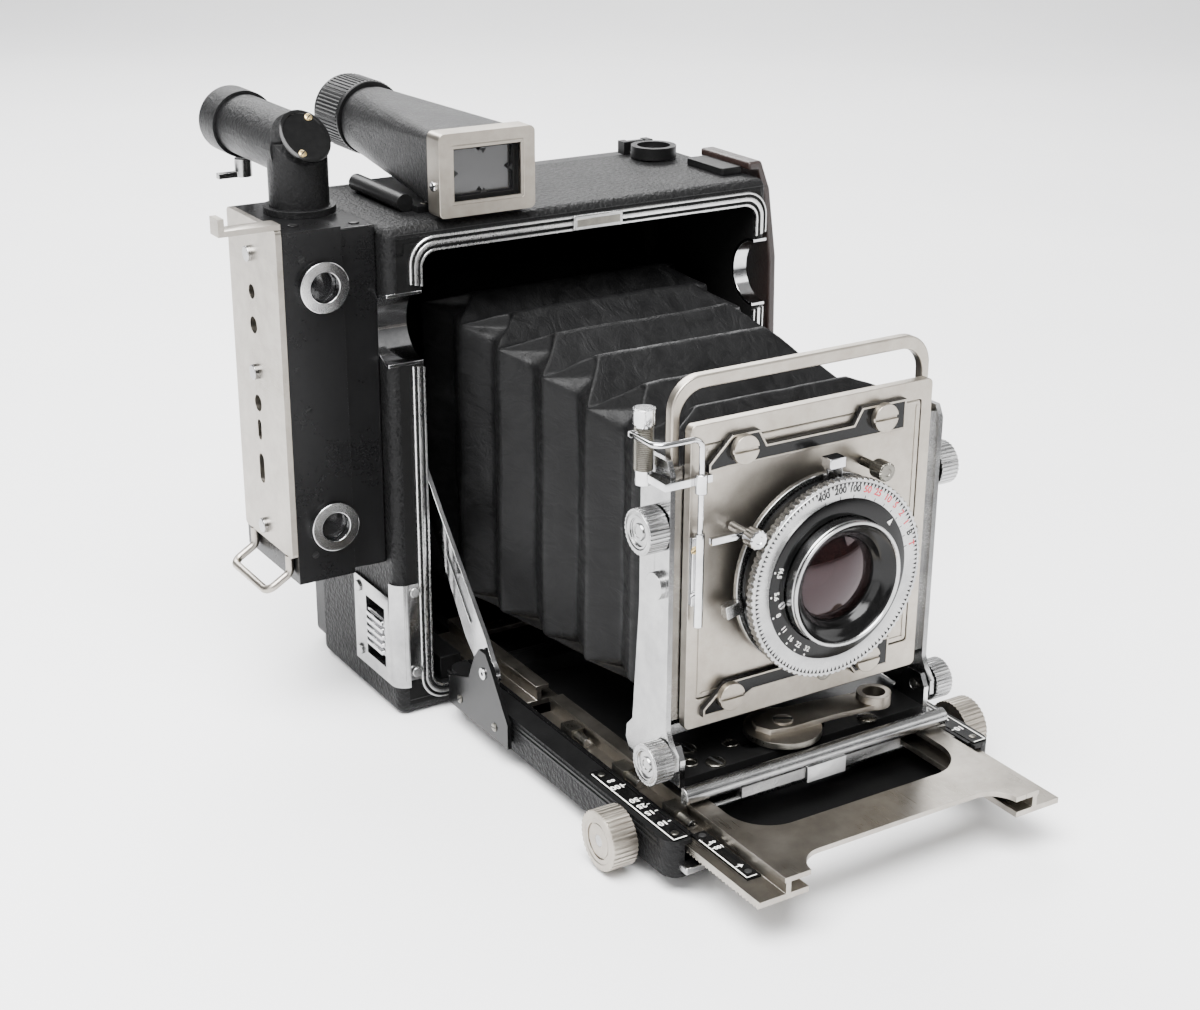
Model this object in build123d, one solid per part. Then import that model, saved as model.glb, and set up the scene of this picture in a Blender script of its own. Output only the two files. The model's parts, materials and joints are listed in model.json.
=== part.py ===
from build123d import *
import os
import math

# Folding press camera, bed open and standard racked forward.  Millimetres, +Z up, lens looks along -Y.
# Shapes are laid out from the body's front face (y = 0) and the lower edge of the front trim (z = 0);
# save() then puts the origin at the mouth of the tripod socket in the body's underside.
ORIGIN_Y = 25.0
ORIGIN_Z = -3.5

# ---- driving dimensions -------------------------------------------------
BODY_X0, BODY_X1 = -62.0, 56.5          # outer sides of the wooden body
BODY_D = 51.0                           # body depth
BODY_Z0, BODY_Z1 = -3.5, 132.5
CAV_X = 52.0                            # half width of the cavity
CAV_Z0, CAV_Z1 = 3.7, 125.7
TRIM_X, TRIM_Z1, TRIM_T = 55.6, 129.7, 1.2
NOTCH_Y, NOTCH_Z, NOTCH_R = 0.4, 106.1, 9.7

BED_X = 49.2
BED_Y0, BED_Y1 = -113.3, -3.0
BED_Z0, BED_Z1 = 1.0, 10.5
HINGE_Y, HINGE_Z = -0.5, 6.0

RAIL_Y0, RAIL_Y1 = -141.7, -39.0        # moving focus rails
INNER_Y0, INNER_Y1 = -32.0, 18.0        # linked rails inside the body
BASE_Z0, BASE_Z1 = 7.7, 9.2
WEB_X0, WEB_X1 = 36.0, 37.4
TOP_Z0, TOP_Z1 = 12.0, 13.3
TOP_X0, TOP_X1 = 33.8, 37.8

SHAFT_Y, SHAFT_Z, SHAFT_R = -95.0, 5.0, 1.5
PINION_R = 2.1
KNOB_R = 7.5

BR_Y, BR_Z = -28.3, 19.1                # lower brace pivot
UP_Y, UP_Z = 30.0, 90.0                 # upper brace pin

TILT_Y, TILT_Z = -96.0, 22.3            # tilt axis
RISE_Z = 80.0
PANEL_X, PANEL_Z0, PANEL_Z1 = 35.0, 29.0, 105.0
PANEL_YF, PANEL_YB = -97.3, -94.8
LENS_Z = 64.4
SHUT_R = 24.5
SOCKET_R, SOCKET_L = 2.6, 6.4

PARTS = {}


# ---- helpers ------------------------------------------------------------
def bx(x0, x1, y0, y1, z0, z1):
    return Pos((x0 + x1) / 2, (y0 + y1) / 2, (z0 + z1) / 2) * Box(abs(x1 - x0), abs(y1 - y0), abs(z1 - z0))


def cx(x0, x1, y, z, r):
    return Pos((x0 + x1) / 2, y, z) * Rot(0, 90, 0) * Cylinder(r, abs(x1 - x0))


def cy(y0, y1, x, z, r):
    return Pos(x, (y0 + y1) / 2, z) * Rot(90, 0, 0) * Cylinder(r, abs(y1 - y0))


def cz(z0, z1, x, y, r):
    return Pos(x, y, (z0 + z1) / 2) * Cylinder(r, abs(z1 - z0))


def ring_y(y0, y1, x, z, ro, ri):
    return cy(y0, y1, x, z, ro) - cy(y0 - 1, y1 + 1, x, z, ri)


def prism_x(pts, x0, x1):
    return extrude(Plane.YZ.offset(x0) * make_face(Polyline(*pts, close=True)), amount=x1 - x0)


def prism_y(pts, y0, y1):
    return extrude(Plane.XZ.offset(-y1) * make_face(Polyline(*pts, close=True)), amount=y1 - y0)


def prism_z(pts, z0, z1):
    return extrude(Plane.XY.offset(z0) * make_face(Polyline(*pts, close=True)), amount=z1 - z0)


def rr_y(x0, x1, z0, z1, r, y0, y1):
    # rounded rectangle in X-Z, thick along Y
    sk = Pos((x0 + x1) / 2, (z0 + z1) / 2) * RectangleRounded(x1 - x0, z1 - z0, r)
    return extrude(Plane.XZ.offset(-y1) * sk, amount=y1 - y0)


def rr_z(x0, x1, y0, y1, r, z0, z1):
    sk = Pos((x0 + x1) / 2, (y0 + y1) / 2) * RectangleRounded(x1 - x0, y1 - y0, r)
    return extrude(Plane.XY.offset(z0) * sk, amount=z1 - z0)


def rr_x(y0, y1, z0, z1, r, x0, x1):
    sk = Pos((y0 + y1) / 2, (z0 + z1) / 2) * RectangleRounded(y1 - y0, z1 - z0, r)
    return extrude(Plane.YZ.offset(x0) * sk, amount=x1 - x0)


def both(shape):
    # the same piece on the left and on the right
    return [shape, mirror(shape, about=Plane.YZ)]


def knurled_x(x0, x1, y, z, r, teeth, depth):
    k = cx(x0, x1, y, z, r)
    cut = []
    for i in range(teeth):
        a = 2 * math.pi * i / teeth
        cut.append(cx(x0 - 1, x1 + 1, y + (r + depth * 0.25) * math.cos(a), z + (r + depth * 0.25) * math.sin(a), depth))
    return k - cut


def rod(path_pts, radii, r):
    line = FilletPolyline(*path_pts, radius=radii)
    start = Plane(origin=line @ 0, z_dir=line % 0)
    return sweep(start * Circle(r), path=line)


def save(name, *shapes):
    solids = []
    for s in shapes:
        if isinstance(s, (list, tuple)):
            for q in s:
                solids += list(q.solids())
        else:
            solids += list(s.solids())
    moved = [s.moved(Location((0, -ORIGIN_Y, -ORIGIN_Z))) for s in solids]
    export_step(moved[0] if len(moved) == 1 else Compound(children=[m for m in moved]), "parts/%s.step" % name)
    PARTS[name] = moved


os.makedirs("parts", exist_ok=True)

# =========================================================================
# BODY
# =========================================================================
body = bx(BODY_X0, BODY_X1, 0, BODY_D, BODY_Z0, BODY_Z1)
body = fillet(body.edges().filter_by(Axis.Y), 2.5)
body = fillet(body.edges().filter_by(Axis.Z).filter_by_position(Axis.X, BODY_X0 - 1, BODY_X0 + 1), 3.0)
body -= bx(-CAV_X, CAV_X, -1, BODY_D + 1, CAV_Z0, CAV_Z1)
body -= cx(-70, 70, NOTCH_Y, NOTCH_Z, NOTCH_R)
body -= cz(BODY_Z0 - 1, BODY_Z0 + 6.6, 0, ORIGIN_Y, 6.0)
body -= bx(BODY_X0 - 1, BODY_X0 + 1.6, 6, 18, 9, 27)
save("body_shell", body)

socket = cz(BODY_Z0, BODY_Z0 + 6.6, 0, ORIGIN_Y, 6.0) - cz(BODY_Z0 - 1, BODY_Z0 + SOCKET_L, 0, ORIGIN_Y, SOCKET_R)
save("tripod_socket", socket)

# striped metal band round the front opening, broken by the finger notches
trim = rr_y(-TRIM_X, TRIM_X, 0, TRIM_Z1, 7.0, -TRIM_T, 0) - rr_y(-CAV_X, CAV_X, CAV_Z0, CAV_Z1, 4.0, -2, 1)
trim -= cx(-70, 70, NOTCH_Y, NOTCH_Z, NOTCH_R)
trim -= bx(-8.0, 7.5, -2, -0.6, 125.0, 131)
tab = rr_y(-7.8, 7.3, 125.8, 129.9, 0.6, -2.0, -0.6)

liner = []
for x0, x1 in ((BODY_X0, -CAV_X), (CAV_X, BODY_X1)):
    l = cx(x0, x1, NOTCH_Y, NOTCH_Z, NOTCH_R - 0.02) - cx(x0 - 1, x1 + 1, NOTCH_Y, NOTCH_Z, NOTCH_R - 0.9)
    liner.append(l & bx(x0 - 1, x1 + 1, 0.0, 30, 90, 120))
save("front_trim", trim, tab, liner)

# body-release plate wrapped round the lower left corner, with its ribbed slider
plate = bx(-60.3, -55.7, -0.8, 0, 7.2, 35.5)
plate += bx(BODY_X0 - 0.9, BODY_X0, 3.2, 25, 5.2, 31)
corner = cz(5.2, 35.5, -58.9, 3.1, 4.0) - cz(4, 37, -58.9, 3.1, 3.1)
plate += corner & bx(-63, -58.9, -1, 3.2, 5.2, 35.5)
plate -= bx(-64, -61, 6.3, 17.7, 9.3, 26.7)
plate = plate - body
save("release_plate", plate)
slider = bx(BODY_X0 - 0.6, BODY_X0 + 1.3, 6.7, 17.3, 12.2, 23.4)
for i in range(5):
    slider += bx(BODY_X0 - 1.5, BODY_X0 - 0.6, 7.2, 16.8, 12.6 + i * 2.2, 13.8 + i * 2.2)
save("release_slider", slider)
plate_screws = [cy(-1.5, -0.9, -57.2, z, 1.4) for z in (9.6, 33.2)] + [cx(BODY_X0 - 1.6, BODY_X0 - 0.9, 22.0, z, 1.6) for z in (8.7, 28.0)]

# brace guides: slotted plates on the inner walls
guide = rr_x(24.5, 35.5, 73, 97, 3.0, -CAV_X, -50.4) - rr_x(27.6, 32.4, 76.5, 93.0, 2.3, -60, -40)

# rail bearers on the cavity floor
bearer = bx(-34.6, -31.6, 2.0, 48.0, CAV_Z0, 7.2) + bx(-48.5, -42.1, 2.0, 48.0, CAV_Z0, 10.4)
save("body_guides", both(guide), both(bearer))

# bellows rear frame
rear = rr_y(-50.5, 50.5, 18.0, 124.0, 3.0, 46.0, 49.5) - rr_y(-42.5, 42.5, 27.0, 112.0, 2.0, 40, 52)
save("bellows_rear_frame", rear)

# ---- back ---------------------------------------------------------------
back = rr_y(-60.0, 55.0, -2.0, 131.0, 3.0, BODY_D, 59.0) - rr_y(-50.0, 50.0, 6.0, 123.5, 2.0, 50, 60)
save("back_frame", back)
panel = rr_y(-53.5, 53.5, 3.5, 126.0, 2.5, 59.3, 66.5) - bx(-46.0, 46.0, 50, 64.5, 9.0, 120.5) - bx(-44.0, 44.0, 60, 70, 11.0, 118.5)
save("ground_glass", bx(-45.8, 45.8, 62.3, 64.4, 9.2, 120.3))
spring = prism_x([(59.0, 26), (60.4, 26), (60.4, 31), (75.6, 58), (77.5, 66), (75.6, 74), (60.4, 102), (60.4, 107), (59.0, 107), (59.0, 101.5), (74.0, 73.5), (75.6, 66), (74.0, 58.5), (59.0, 31.5)], -59.5, -55.5)
save("leaf_springs", [spring, prism_x([(59.0, 26), (60.4, 26), (60.4, 31), (72.0, 62), (72.0, 70), (60.4, 102), (60.4, 107), (59.0, 107), (59.0, 101.5), (70.4, 69.5), (70.4, 62.5), (59.0, 31.5)], 54.0, 55.0 + 3.0)])
hood = rr_y(-48.0, 48.0, 8.0, 121.0, 3.0, 66.8, 70.5) - rr_y(-44.5, 44.5, 11.5, 117.5, 2.0, 60, 69.3)
hood += (cx(-28.0, 28.0, 69.0, 5.7, 1.8) + bx(-28.0, 28.0, 67.4, 70.5, 6.0, 8.5)) - cx(-50, 50, 69.0, 5.7, 0.85)
save("hood_door", hood)
for s in (-1, 1):
    panel += bx(min(s * 28.4, s * 36.0), max(s * 28.4, s * 36.0), 66.4, 69.0, 3.9, 7.5) + cx(min(s * 28.4, s * 36.0), max(s * 28.4, s * 36.0), 69.0, 5.7, 1.8)
panel += cx(-30.0, 30.0, 69.0, 5.7, 0.8)
save("focusing_panel", panel)

# ---- rangefinder --------------------------------------------------------
rb = bx(-72.0, BODY_X0 - 0.0, 5.0, 38.0, 41.0, 133.0) - bx(-70.5, BODY_X0 - 1.5, 6.8, 36.2, 43.0, 131.0)
save("rangefinder_base", rb)
rc = bx(-87.8, -72.0, 3.8, 38.0, 40.5, 134.0) - bx(-86.2, -71.0, 6.3, 36.2, 42.5, 132.0)
for z in (119.5, 55.5):
    rc -= cy(0, 10, -77.8, z, 4.0)
save("rangefinder_cover", rc)
save("rangefinder_optics", [ring_y(1.6, 3.8, -77.8, z, 6.6, 3.9) for z in (119.5, 55.5)], [cy(4.0, 5.6, -77.8, z, 3.95) for z in (119.5, 55.5)], [Pos(-78.5, 20, z) * Rot(45, 0, 0) * Box(9, 12, 2.0) for z in (119.5, 55.5)])
fb = rr_x(3.6, 34.6, 48.0, 135.0, 1.2, -89.6, -88.0)
for z, r in ((107.0, 2.2), (86.0, 2.2), (115.8, 1.9)):
    fb -= cx(-92, -86, 20.8, z, r)
fb -= rr_x(19.2, 22.4, 64.0, 72.0, 1.5, -92, -86)
fb -= rr_x(19.6, 22.0, 76.0, 81.5, 1.15, -92, -86)
hook = bx(-104.0, -88.0, 3.8, 9.0, 135.0, 136.4) + bx(-104.0, -102.4, 3.8, 9.0, 136.0, 139.4)
loop = rod([(-88.9, 7.5, 47.9), (-88.9, 7.5, 43.0), (-95.5, 7.5, 39.0), (-95.5, 30.5, 39.0), (-88.9, 30.5, 43.0), (-88.9, 30.5, 47.9)], [2.2, 2.4, 2.4, 2.2], 1.1)
for z in (125.7, 94.5, 52.0):
    fb -= cx(-92, -86, 20.8, z, 2.02)
save("flash_bracket", fb + hook, loop - fb)
lugs = [rr_x(9.0, 27.0, 11.0, 13.8, 1.0, 56.5, 59.0), rr_z(47.0, 53.8, 9.0, 27.0, 1.0, BODY_Z1, 134.6)]
save("body_fasteners", plate_screws, [cx(-90.8, -87.85, 20.8, z, 2.0) for z in (125.7, 94.5, 52.0)], lugs)

# ---- focus light --------------------------------------------------------
fl = cz(134.0, 152.0, -74.0, 24.0, 7.7) + cy(22.0, 66.0, -74.0, 150.5, 8.0)
fl -= Pos(-74.0, 24.0 - 7.5, 151.0 + 7.5) * Rot(45, 0, 0) * Box(30, 40, 16.0)
save("focus_light_body", fl.solids().sort_by(SortBy.VOLUME)[-1], ring_y(58.0, 68.0, -74.0, 150.5, 8.9, 8.02) + cy(66.2, 68.0, -74.0, 150.5, 8.8), cz(134.0, 135.8, -74.0, 24.0, 9.3) - cz(133, 137, -74.0, 24.0, 7.72))
save("focus_light_switch", cz(136.2, 141.2, -74.0, 60.5, 2.3) + bx(-81.5, -74.0, 59.5, 61.5, 136.2, 137.7))

# ---- optical finder -----------------------------------------------------
VF_X, VF_Z = -33.1, 144.4
outer = loft(Sketch() + [Plane.XZ.offset(-5.2) * (Pos(VF_X, VF_Z) * RectangleRounded(25.6, 19.0, 2.0)), Plane.XZ.offset(-66.0) * (Pos(VF_X, 146.6) * RectangleRounded(18.4, 18.4, 8.6))])
inner = loft(Sketch() + [Plane.XZ.offset(-4.0) * (Pos(VF_X, VF_Z) * RectangleRounded(22.4, 15.8, 1.2)), Plane.XZ.offset(-67.0) * (Pos(VF_X, 146.6) * RectangleRounded(15.2, 15.2, 7.1))])
save("viewfinder_housing", outer - inner)
frame = rr_y(-47.0, -19.3, 133.6, 155.0, 1.6, -1.5, 5.0) - rr_y(-43.6, -22.6, 136.8, 151.8, 0.6, -3, 6)
save("viewfinder_frame", frame)
mask = rr_y(-43.4, -22.8, 137.0, 151.6, 0.5, 1.0, 2.0) - rr_y(-41.8, -24.4, 138.4, 150.2, 0.4, -3, 6)
eye = ring_y(66.3, 82.0, VF_X, 147.0, 10.2, 6.2)
save("viewfinder_eyepiece", eye)
save("viewfinder_optics", mask, rr_y(-43.4, -22.8, 137.0, 151.6, 0.5, 2.2, 4.4), cy(76.0, 79.0, VF_X, 147.0, 5.9))
shoe = bx(-46.5, -20.0, 12.0, 48.0, BODY_Z1, 134.3)
shoe += cy(15.0, 44.0, -48.6, 134.9, 2.3) & bx(-60, -40, 0, 60, BODY_Z1, 140)
shoe += bx(-48.6, -46.4, 15.0, 44.0, BODY_Z1, 134.3)

# ---- peep sight, folded down on the body top ----------------------------
peep = cz(133.0, 134.6, 44.0, 39.4, 6.6) + (cz(134.6, 136.4, 44.0, 39.4, 6.6) - cz(134, 137, 44.0, 39.4, 4.8))
peep += bx(41.6, 46.4, 43.0, 49.2, 133.2, 134.8) + cx(41.6, 46.4, 49.2, 134.6, 1.6)
peep -= cz(130, 140, 44.0, 39.4, 1.1)
peep -= cx(30, 60, 49.2, 134.6, 0.85)
save("peep_sight", peep)
pb = bx(39.0, 41.2, 47.4, 50.9, BODY_Z1, 136.2) + bx(46.8, 49.0, 47.4, 50.9, BODY_Z1, 136.2) + cx(41.0, 47.0, 49.2, 134.6, 0.8)
save("finder_mounts", shoe - outer, pb)

# ---- hand strap on the right side ---------------------------------------
strap = prism_y([(56.6, 14.0), (58.6, 14.0), (60.4, 24.0), (64.6, 44.0), (65.4, 76.0), (64.6, 108.0), (61.6, 128.0), (58.4, 136.2), (54.0, 136.2), (54.0, 133.8), (57.2, 133.8), (59.2, 127.0), (62.0, 107.0), (62.8, 76.0), (62.0, 45.0), (58.2, 26.0), (56.6, 22.0)], 6.0, 30.0)
save("hand_strap", strap)

# =========================================================================
# BED
# =========================================================================
bed = rr_z(-BED_X, BED_X, BED_Y0, BED_Y1, 4.0, BED_Z0, BED_Z1)
bed -= bx(-45.2, 45.2, -120, 5, 2.6, 9.5)
bed -= bx(-43.1, 43.1, -120, 5, 9.0, 12)
bed -= cx(-60, 60, SHAFT_Y, SHAFT_Z, SHAFT_R + 0.05)
# relieved lower rear edge, so the bed can swing down past the trim
bed -= prism_x([(-1.0, 0.0), (-5.0, 0.0), (-1.0, 4.0)], -60, 60)
save("bed_strips", both(bx(-43.1, -42.0, BED_Y0 + 1.5, BED_Y1 - 1, 9.5, 10.9)), both(bx(-47.7, -43.4, -112.2, -75.0, BED_Z1, BED_Z1 + 0.4)))
bracket = prism_x([(-8.5, 2.5), (-8.5, 10.5), (-20.0, 14.5), (-23.4, 22.0), (-26.0, 25.2), (-29.5, 25.2), (-32.2, 22.0), (-41.0, 9.5), (-41.0, 2.5)], -51.5, -50.3)
bracket += bx(-50.3, -BED_X, -38.0, -10.0, 2.5, 10.0)
bracket -= cx(-60, -40, BR_Y, BR_Z, 1.65)
save("brace_brackets", both(bracket))
# hinge: bed knuckles round a pin held in the body's floor blocks
hx = bx(-30, 30, -3.0, 0.3, 3.2, 7.4) + cx(-30, 30, HINGE_Y, HINGE_Z, 1.9)
hx = hx - cx(-70, 70, HINGE_Y, HINGE_Z, 1.05)
hx &= bx(-30, 30, -3.0, 5, 4.15, 12)
bed += bx(-30, 30, -8.0, -2.9, 2.0, 7.4)
save("bed_plate", bed + hx)
hinge = cx(-44.0, 44.0, HINGE_Y, HINGE_Z, 1.0)
for s in (-1, 1):
    blk = bx(min(s * 30.4, s * 44.0), max(s * 30.4, s * 44.0), -1.0, 1.7, CAV_Z0, 7.4)
    hinge += blk
save("bed_hinge_pin", hinge - trim)

# ---- braces -------------------------------------------------------------
dy, dz = UP_Y - BR_Y, UP_Z - BR_Z
L = math.hypot(dy, dz)
ang = math.degrees(math.atan2(dz, dy))


def along(u, v):
    a = math.radians(ang)
    return (BR_Y + u * math.cos(a) - v * math.sin(a), BR_Z + u * math.sin(a) + v * math.cos(a))


bar = prism_x([along(-3.5, -3.4), along(12, -6.0), along(30, -4.6), along(44, -3.2), along(L + 3.0, -2.8), along(L + 3.0, 2.8), along(44, 3.2), along(26, 4.0), along(8, 4.8), along(-3.5, 3.4)], -50.0, -48.7)
bar += cx(-50.0, -48.7, BR_Y, BR_Z, 4.4)
bar += cx(-52.0 + 0.5, -48.7, UP_Y, UP_Z, 1.7)
bar += cx(-51.9, -48.7, BR_Y, BR_Z, 1.6)
slot = prism_x([along(14, -0.9), along(34, -0.9), along(34, 0.9), along(14, 0.9)], -52.0, -48.0)
bar -= slot
save("braces", both(bar))

# =========================================================================
# RAILS
# =========================================================================
def rail(y0, y1, outer=44.6):
    r = bx(-outer, -31.0, y0, y1, BASE_Z0, BASE_Z1)
    r += bx(-WEB_X1, -WEB_X0, y0, y1, BASE_Z1, TOP_Z0)
    r += bx(-TOP_X1, -TOP_X0, y0, y1, TOP_Z0, TOP_Z1)
    return r


left = rail(RAIL_Y0, RAIL_Y1)
teeth = [bx(-44.6, -42.8, y, y + 0.66, 7.2, BASE_Z0 + 0.01) for y in [RAIL_Y0 + 0.6 + i * 1.32 for i in range(76)]]
left = left + bx(-44.6, -42.8, RAIL_Y0 + 0.2, RAIL_Y1 - 0.2, 7.55, BASE_Z0)
left = left + teeth
right = mirror(left, about=Plane.YZ)
# front bridge plate with a large rounded cut-out and a concave front edge
bridge = rr_z(-TOP_X0 - 0.2, TOP_X0 + 0.2, RAIL_Y0, -100.0, 0.5, TOP_Z0, TOP_Z1)
bridge -= rr_z(-32.6, 32.6, -123.0, -60.0, 11.0, TOP_Z0 - 1, TOP_Z1 + 1)
bridge -= rr_z(-30.6, 30.6, -170.0, -135.3, 7.0, TOP_Z0 - 1, TOP_Z1 + 1)
save("focus_rails", (left + right + bridge))
stops = []
for y in (-54.0, -78.5, -101.0):
    for s in (-1, 1):
        blk = bx(min(s * 41.7, s * 38.0), max(s * 41.7, s * 38.0), y - 2.6, y + 2.6, BASE_Z1, 12.4)
        stops.append(blk + cy(y - 7.6, y - 2.6, s * 39.8, 10.6, 1.3))
save("rail_stops", stops, both(bx(-41.6, -37.8, -133.0, -110.5, BASE_Z1, BASE_Z1 + 0.5)))
inner_l = rail(INNER_Y0, INNER_Y1, 41.7)
tie = bx(-31.0, 31.0, INNER_Y1 - 5, INNER_Y1, BASE_Z0, BASE_Z1)
save("inner_rails", inner_l + mirror(inner_l, about=Plane.YZ) + tie)

# ---- focus shaft --------------------------------------------------------
shaft = cx(-57.3, 57.3, SHAFT_Y, SHAFT_Z, SHAFT_R)
for s in (-1, 1):
    pin = cx(min(s * 42.6, s * 44.8), max(s * 42.6, s * 44.8), SHAFT_Y, SHAFT_Z, PINION_R)
    pin -= [cx(-50, 50, SHAFT_Y + 2.3 * math.cos(a), SHAFT_Z + 2.3 * math.sin(a), 0.32) for a in [2 * math.pi * i / 10 for i in range(10)]]
    shaft += pin
save("focus_shaft", shaft)
kn = knurled_x(-57.5, -50.9, SHAFT_Y, SHAFT_Z, KNOB_R, 36, 0.34) - cx(-58.2, -57.0, SHAFT_Y, SHAFT_Z, 4.6) - cx(-60, -45, SHAFT_Y, SHAFT_Z, SHAFT_R + 0.01)
kn += cx(-57.35, -57.0, SHAFT_Y, SHAFT_Z, 4.2) - cx(-60, -45, SHAFT_Y, SHAFT_Z, SHAFT_R + 0.01)
save("focus_knobs", both(kn))

# =========================================================================
# CARRIAGE AND FRONT STANDARD
# =========================================================================
base = bx(-35.8, 35.8, -103.4, -76.0, 13.6, 15.6)
for s in (-1, 1):
    base += bx(min(s * 32.3, s * 33.5), max(s * 32.3, s * 33.5), -100.0, -76.0, 10.4, 13.6)
    base += bx(min(s * 33.5, s * 35.6), max(s * 33.5, s * 35.6), -100.0, -76.0, 10.4, 11.7)
fbar = cx(-39.8, 39.8, -104.0, 16.0, 2.2) - bx(-50, 50, -103.4, -100, 10, 20)
fbar += bx(-23.7, 25.0, -105.6, -103.4, 11.6, 14.6)
fbar += bx(-4.8, 7.0, -106.6, -105.0, 10.6, 15.0)
save("carriage_base", base, fbar)
sb = bx(-36.0, 36.0, -100.0, -78.0, 15.9, 17.9) - rr_z(-15.5, 9.5, -96.3, -90.7, 2.7, 15, 19)
for s in (-1, 1):
    ear = prism_x([(-100.0, 15.9), (-100.2, 23.0), (-98.4, 26.2), (-93.6, 26.2), (-91.6, 23.0), (-88.0, 17.9), (-78.0, 17.9), (-78.0, 15.9)], min(s * 36.6, s * 38.0), max(s * 36.6, s * 38.0))
    sb += ear
    sb += bx(min(s * 35.5, s * 36.8), max(s * 35.5, s * 36.8), -100.0, -78.0, 15.9, 17.9)
sb -= cx(-60, 60, TILT_Y, TILT_Z, 1.45)
save("shift_block", sb)
LX, LY = -3.0, -93.5
disc = cz(18.5, 20.1, LX, LY, 9.8) + cz(15.9, 18.5, LX, LY, 2.2)
lever = prism_z([(LX - 6.0, LY + 4.6), (LX - 7.4, LY + 1.0), (LX - 5.6, LY - 2.6), (LX, LY - 4.0), (LX + 12.0, LY - 4.2), (21.0, -99.0), (24.0, -99.8), (24.0, -91.2), (LX + 12.0, LY + 4.8), (LX, LY + 6.0)], 20.1, 21.5)
lever += cz(20.1, 23.3, 24.0, -95.5, 4.4)
lever -= cz(19, 25, 24.0, -95.5, 2.9)
save("lock_lever", disc + lever)

# U-frame of the standard
prof = [(-96.5, 30.0), (-96.5, 94.0), (-95.0, 97.0), (-86.0, 97.0), (-84.3, 94.0), (-84.3, 58.0), (-82.4, 32.0), (-82.0, 27.0), (-79.6, 24.5), (-79.2, 20.8), (-80.5, 18.7), (-98.0, 17.9), (-100.3, 20.6), (-100.3, 24.4), (-98.0, 27.0)]
uf = []
side = prism_x(prof, -39.8, -38.4)
side += bx(-38.4, -34.2, -94.5, -93.3, 31.0, 95.0)
side += bx(-38.4, -37.9, -94.5, -84.4, 31.0, 95.0)
for z, r in ((TILT_Z, 1.45), (RISE_Z, 1.35)):
    side -= cx(-60, -34, TILT_Y if z == TILT_Z else -91.8, z, r)
ufr = side + mirror(side, about=Plane.YZ)
ufr += bx(-39.0, 39.0, -90.5, -86.5, 24.5, 27.3)
ufr += cx(-41.4, -39.8, -92.6, 66.0, 3.3)
save("standard_frame", ufr)
tk = knurled_x(-45.2, -40.2, TILT_Y, TILT_Z, 5.2, 30, 0.28) - cx(-46, -44.5, TILT_Y, TILT_Z, 3.4)
tk += cx(-44.9, -44.4, TILT_Y, TILT_Z, 1.6)
tk += cx(-40.3, -36.65, TILT_Y, TILT_Z, 1.4)
save("tilt_knobs", both(tk))
rk = knurled_x(-45.4, -40.2, -91.8, RISE_Z, 5.5, 30, 0.28) - cx(-46, -44.7, -91.8, RISE_Z, 3.4)
rk += cx(-45.2, -44.4, -91.8, RISE_Z, 1.6)
rk += cx(-40.3, -38.2, -91.8, RISE_Z, 1.3)
save("rise_knobs", both(rk))

# lens panel and board
lp = rr_y(-PANEL_X, PANEL_X, PANEL_Z0, PANEL_Z1, 1.5, PANEL_YF, PANEL_YB)
lp -= rr_y(-31.9, 31.9, 36.3, 100.2, 0.8, PANEL_YF - 1, -95.7)
lp -= rr_y(-27.0, 27.0, 40.0, 92.0, 3.0, -100, -90)
save("lens_panel", lp)
board = rr_y(-31.75, 31.75, 36.5, 100.0, 0.7, -97.0, -95.7) - cy(-100, -90, 0, LENS_Z, 17.0)
save("lens_board", board)
ct = prism_y([(-31.0, 93.6), (-25.4, 94.0), (26.0, 94.0), (26.0, 101.7), (12.6, 101.7), (10.3, 97.8), (-14.8, 97.8), (-17.0, 101.7), (-24.6, 101.7), (-31.0, 95.6)], -98.6, PANEL_YF)
cb = prism_y([(-30.8, 32.0), (-24.0, 32.0), (-16.5, 35.6), (12.0, 35.6), (14.6, 32.0), (25.1, 32.0), (25.1, 39.7), (-24.0, 39.7), (-30.8, 34.0)], -98.6, PANEL_YF)
save("board_clips", ct, cb, [cy(-100.4, -98.6, x, z, 3.5) - bx(x - 4, x + 4, -101, -99.8, z - 0.4, z + 0.4) for x, z in ((-21.7, 98.0), (18.8, 98.4), (-23.4, 36.2), (17.7, 35.9))])
bf = rr_y(-33.4, 33.4, 31.0, 103.0, 2.0, PANEL_YB, -91.6) - rr_y(-28.5, 28.5, 36.0, 98.0, 2.0, -96, -90)
save("bellows_front_frame", bf)

# wire-frame finder bail behind the panel
bail = rr_y(-37.4, 37.4, 20.0, 115.0, 8.0, -92.9, -90.3) - rr_y(-35.1, 35.1, 0.0, 111.8, 6.5, -95, -88)
bail -= bx(-50, 50, -95, -88, 0, 42.0)
save("finder_bail", bail)

# ---- release linkage on the left edge ----------------------------------
rel = cz(90.6, 104.8, -42.6, -89.6, 2.0) + cz(105.0, 108.6, -42.6, -89.6, 2.6) + cz(104.0, 105.2, -42.6, -89.6, 1.2)
rel += bx(-42.8, -40.4, -98.6, -89.6, 91.5, 93.3) + bx(-42.8, -30.0, -98.9, -97.5, 91.5, 93.3)
wire = (rod([(-45.9, -89.6, 103.0), (-45.9, -99.9, 103.0), (-33.8, -99.9, 103.0), (-33.8, -99.9, 57.0)], [2.5, 2.5], 0.7) + cz(57.0, 80.0, -33.8, -99.9, 1.1))
wire += bx(-46.4, -42.6, -90.3, -88.9, 102.4, 103.6)
save("release_linkage", rel + wire)

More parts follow.
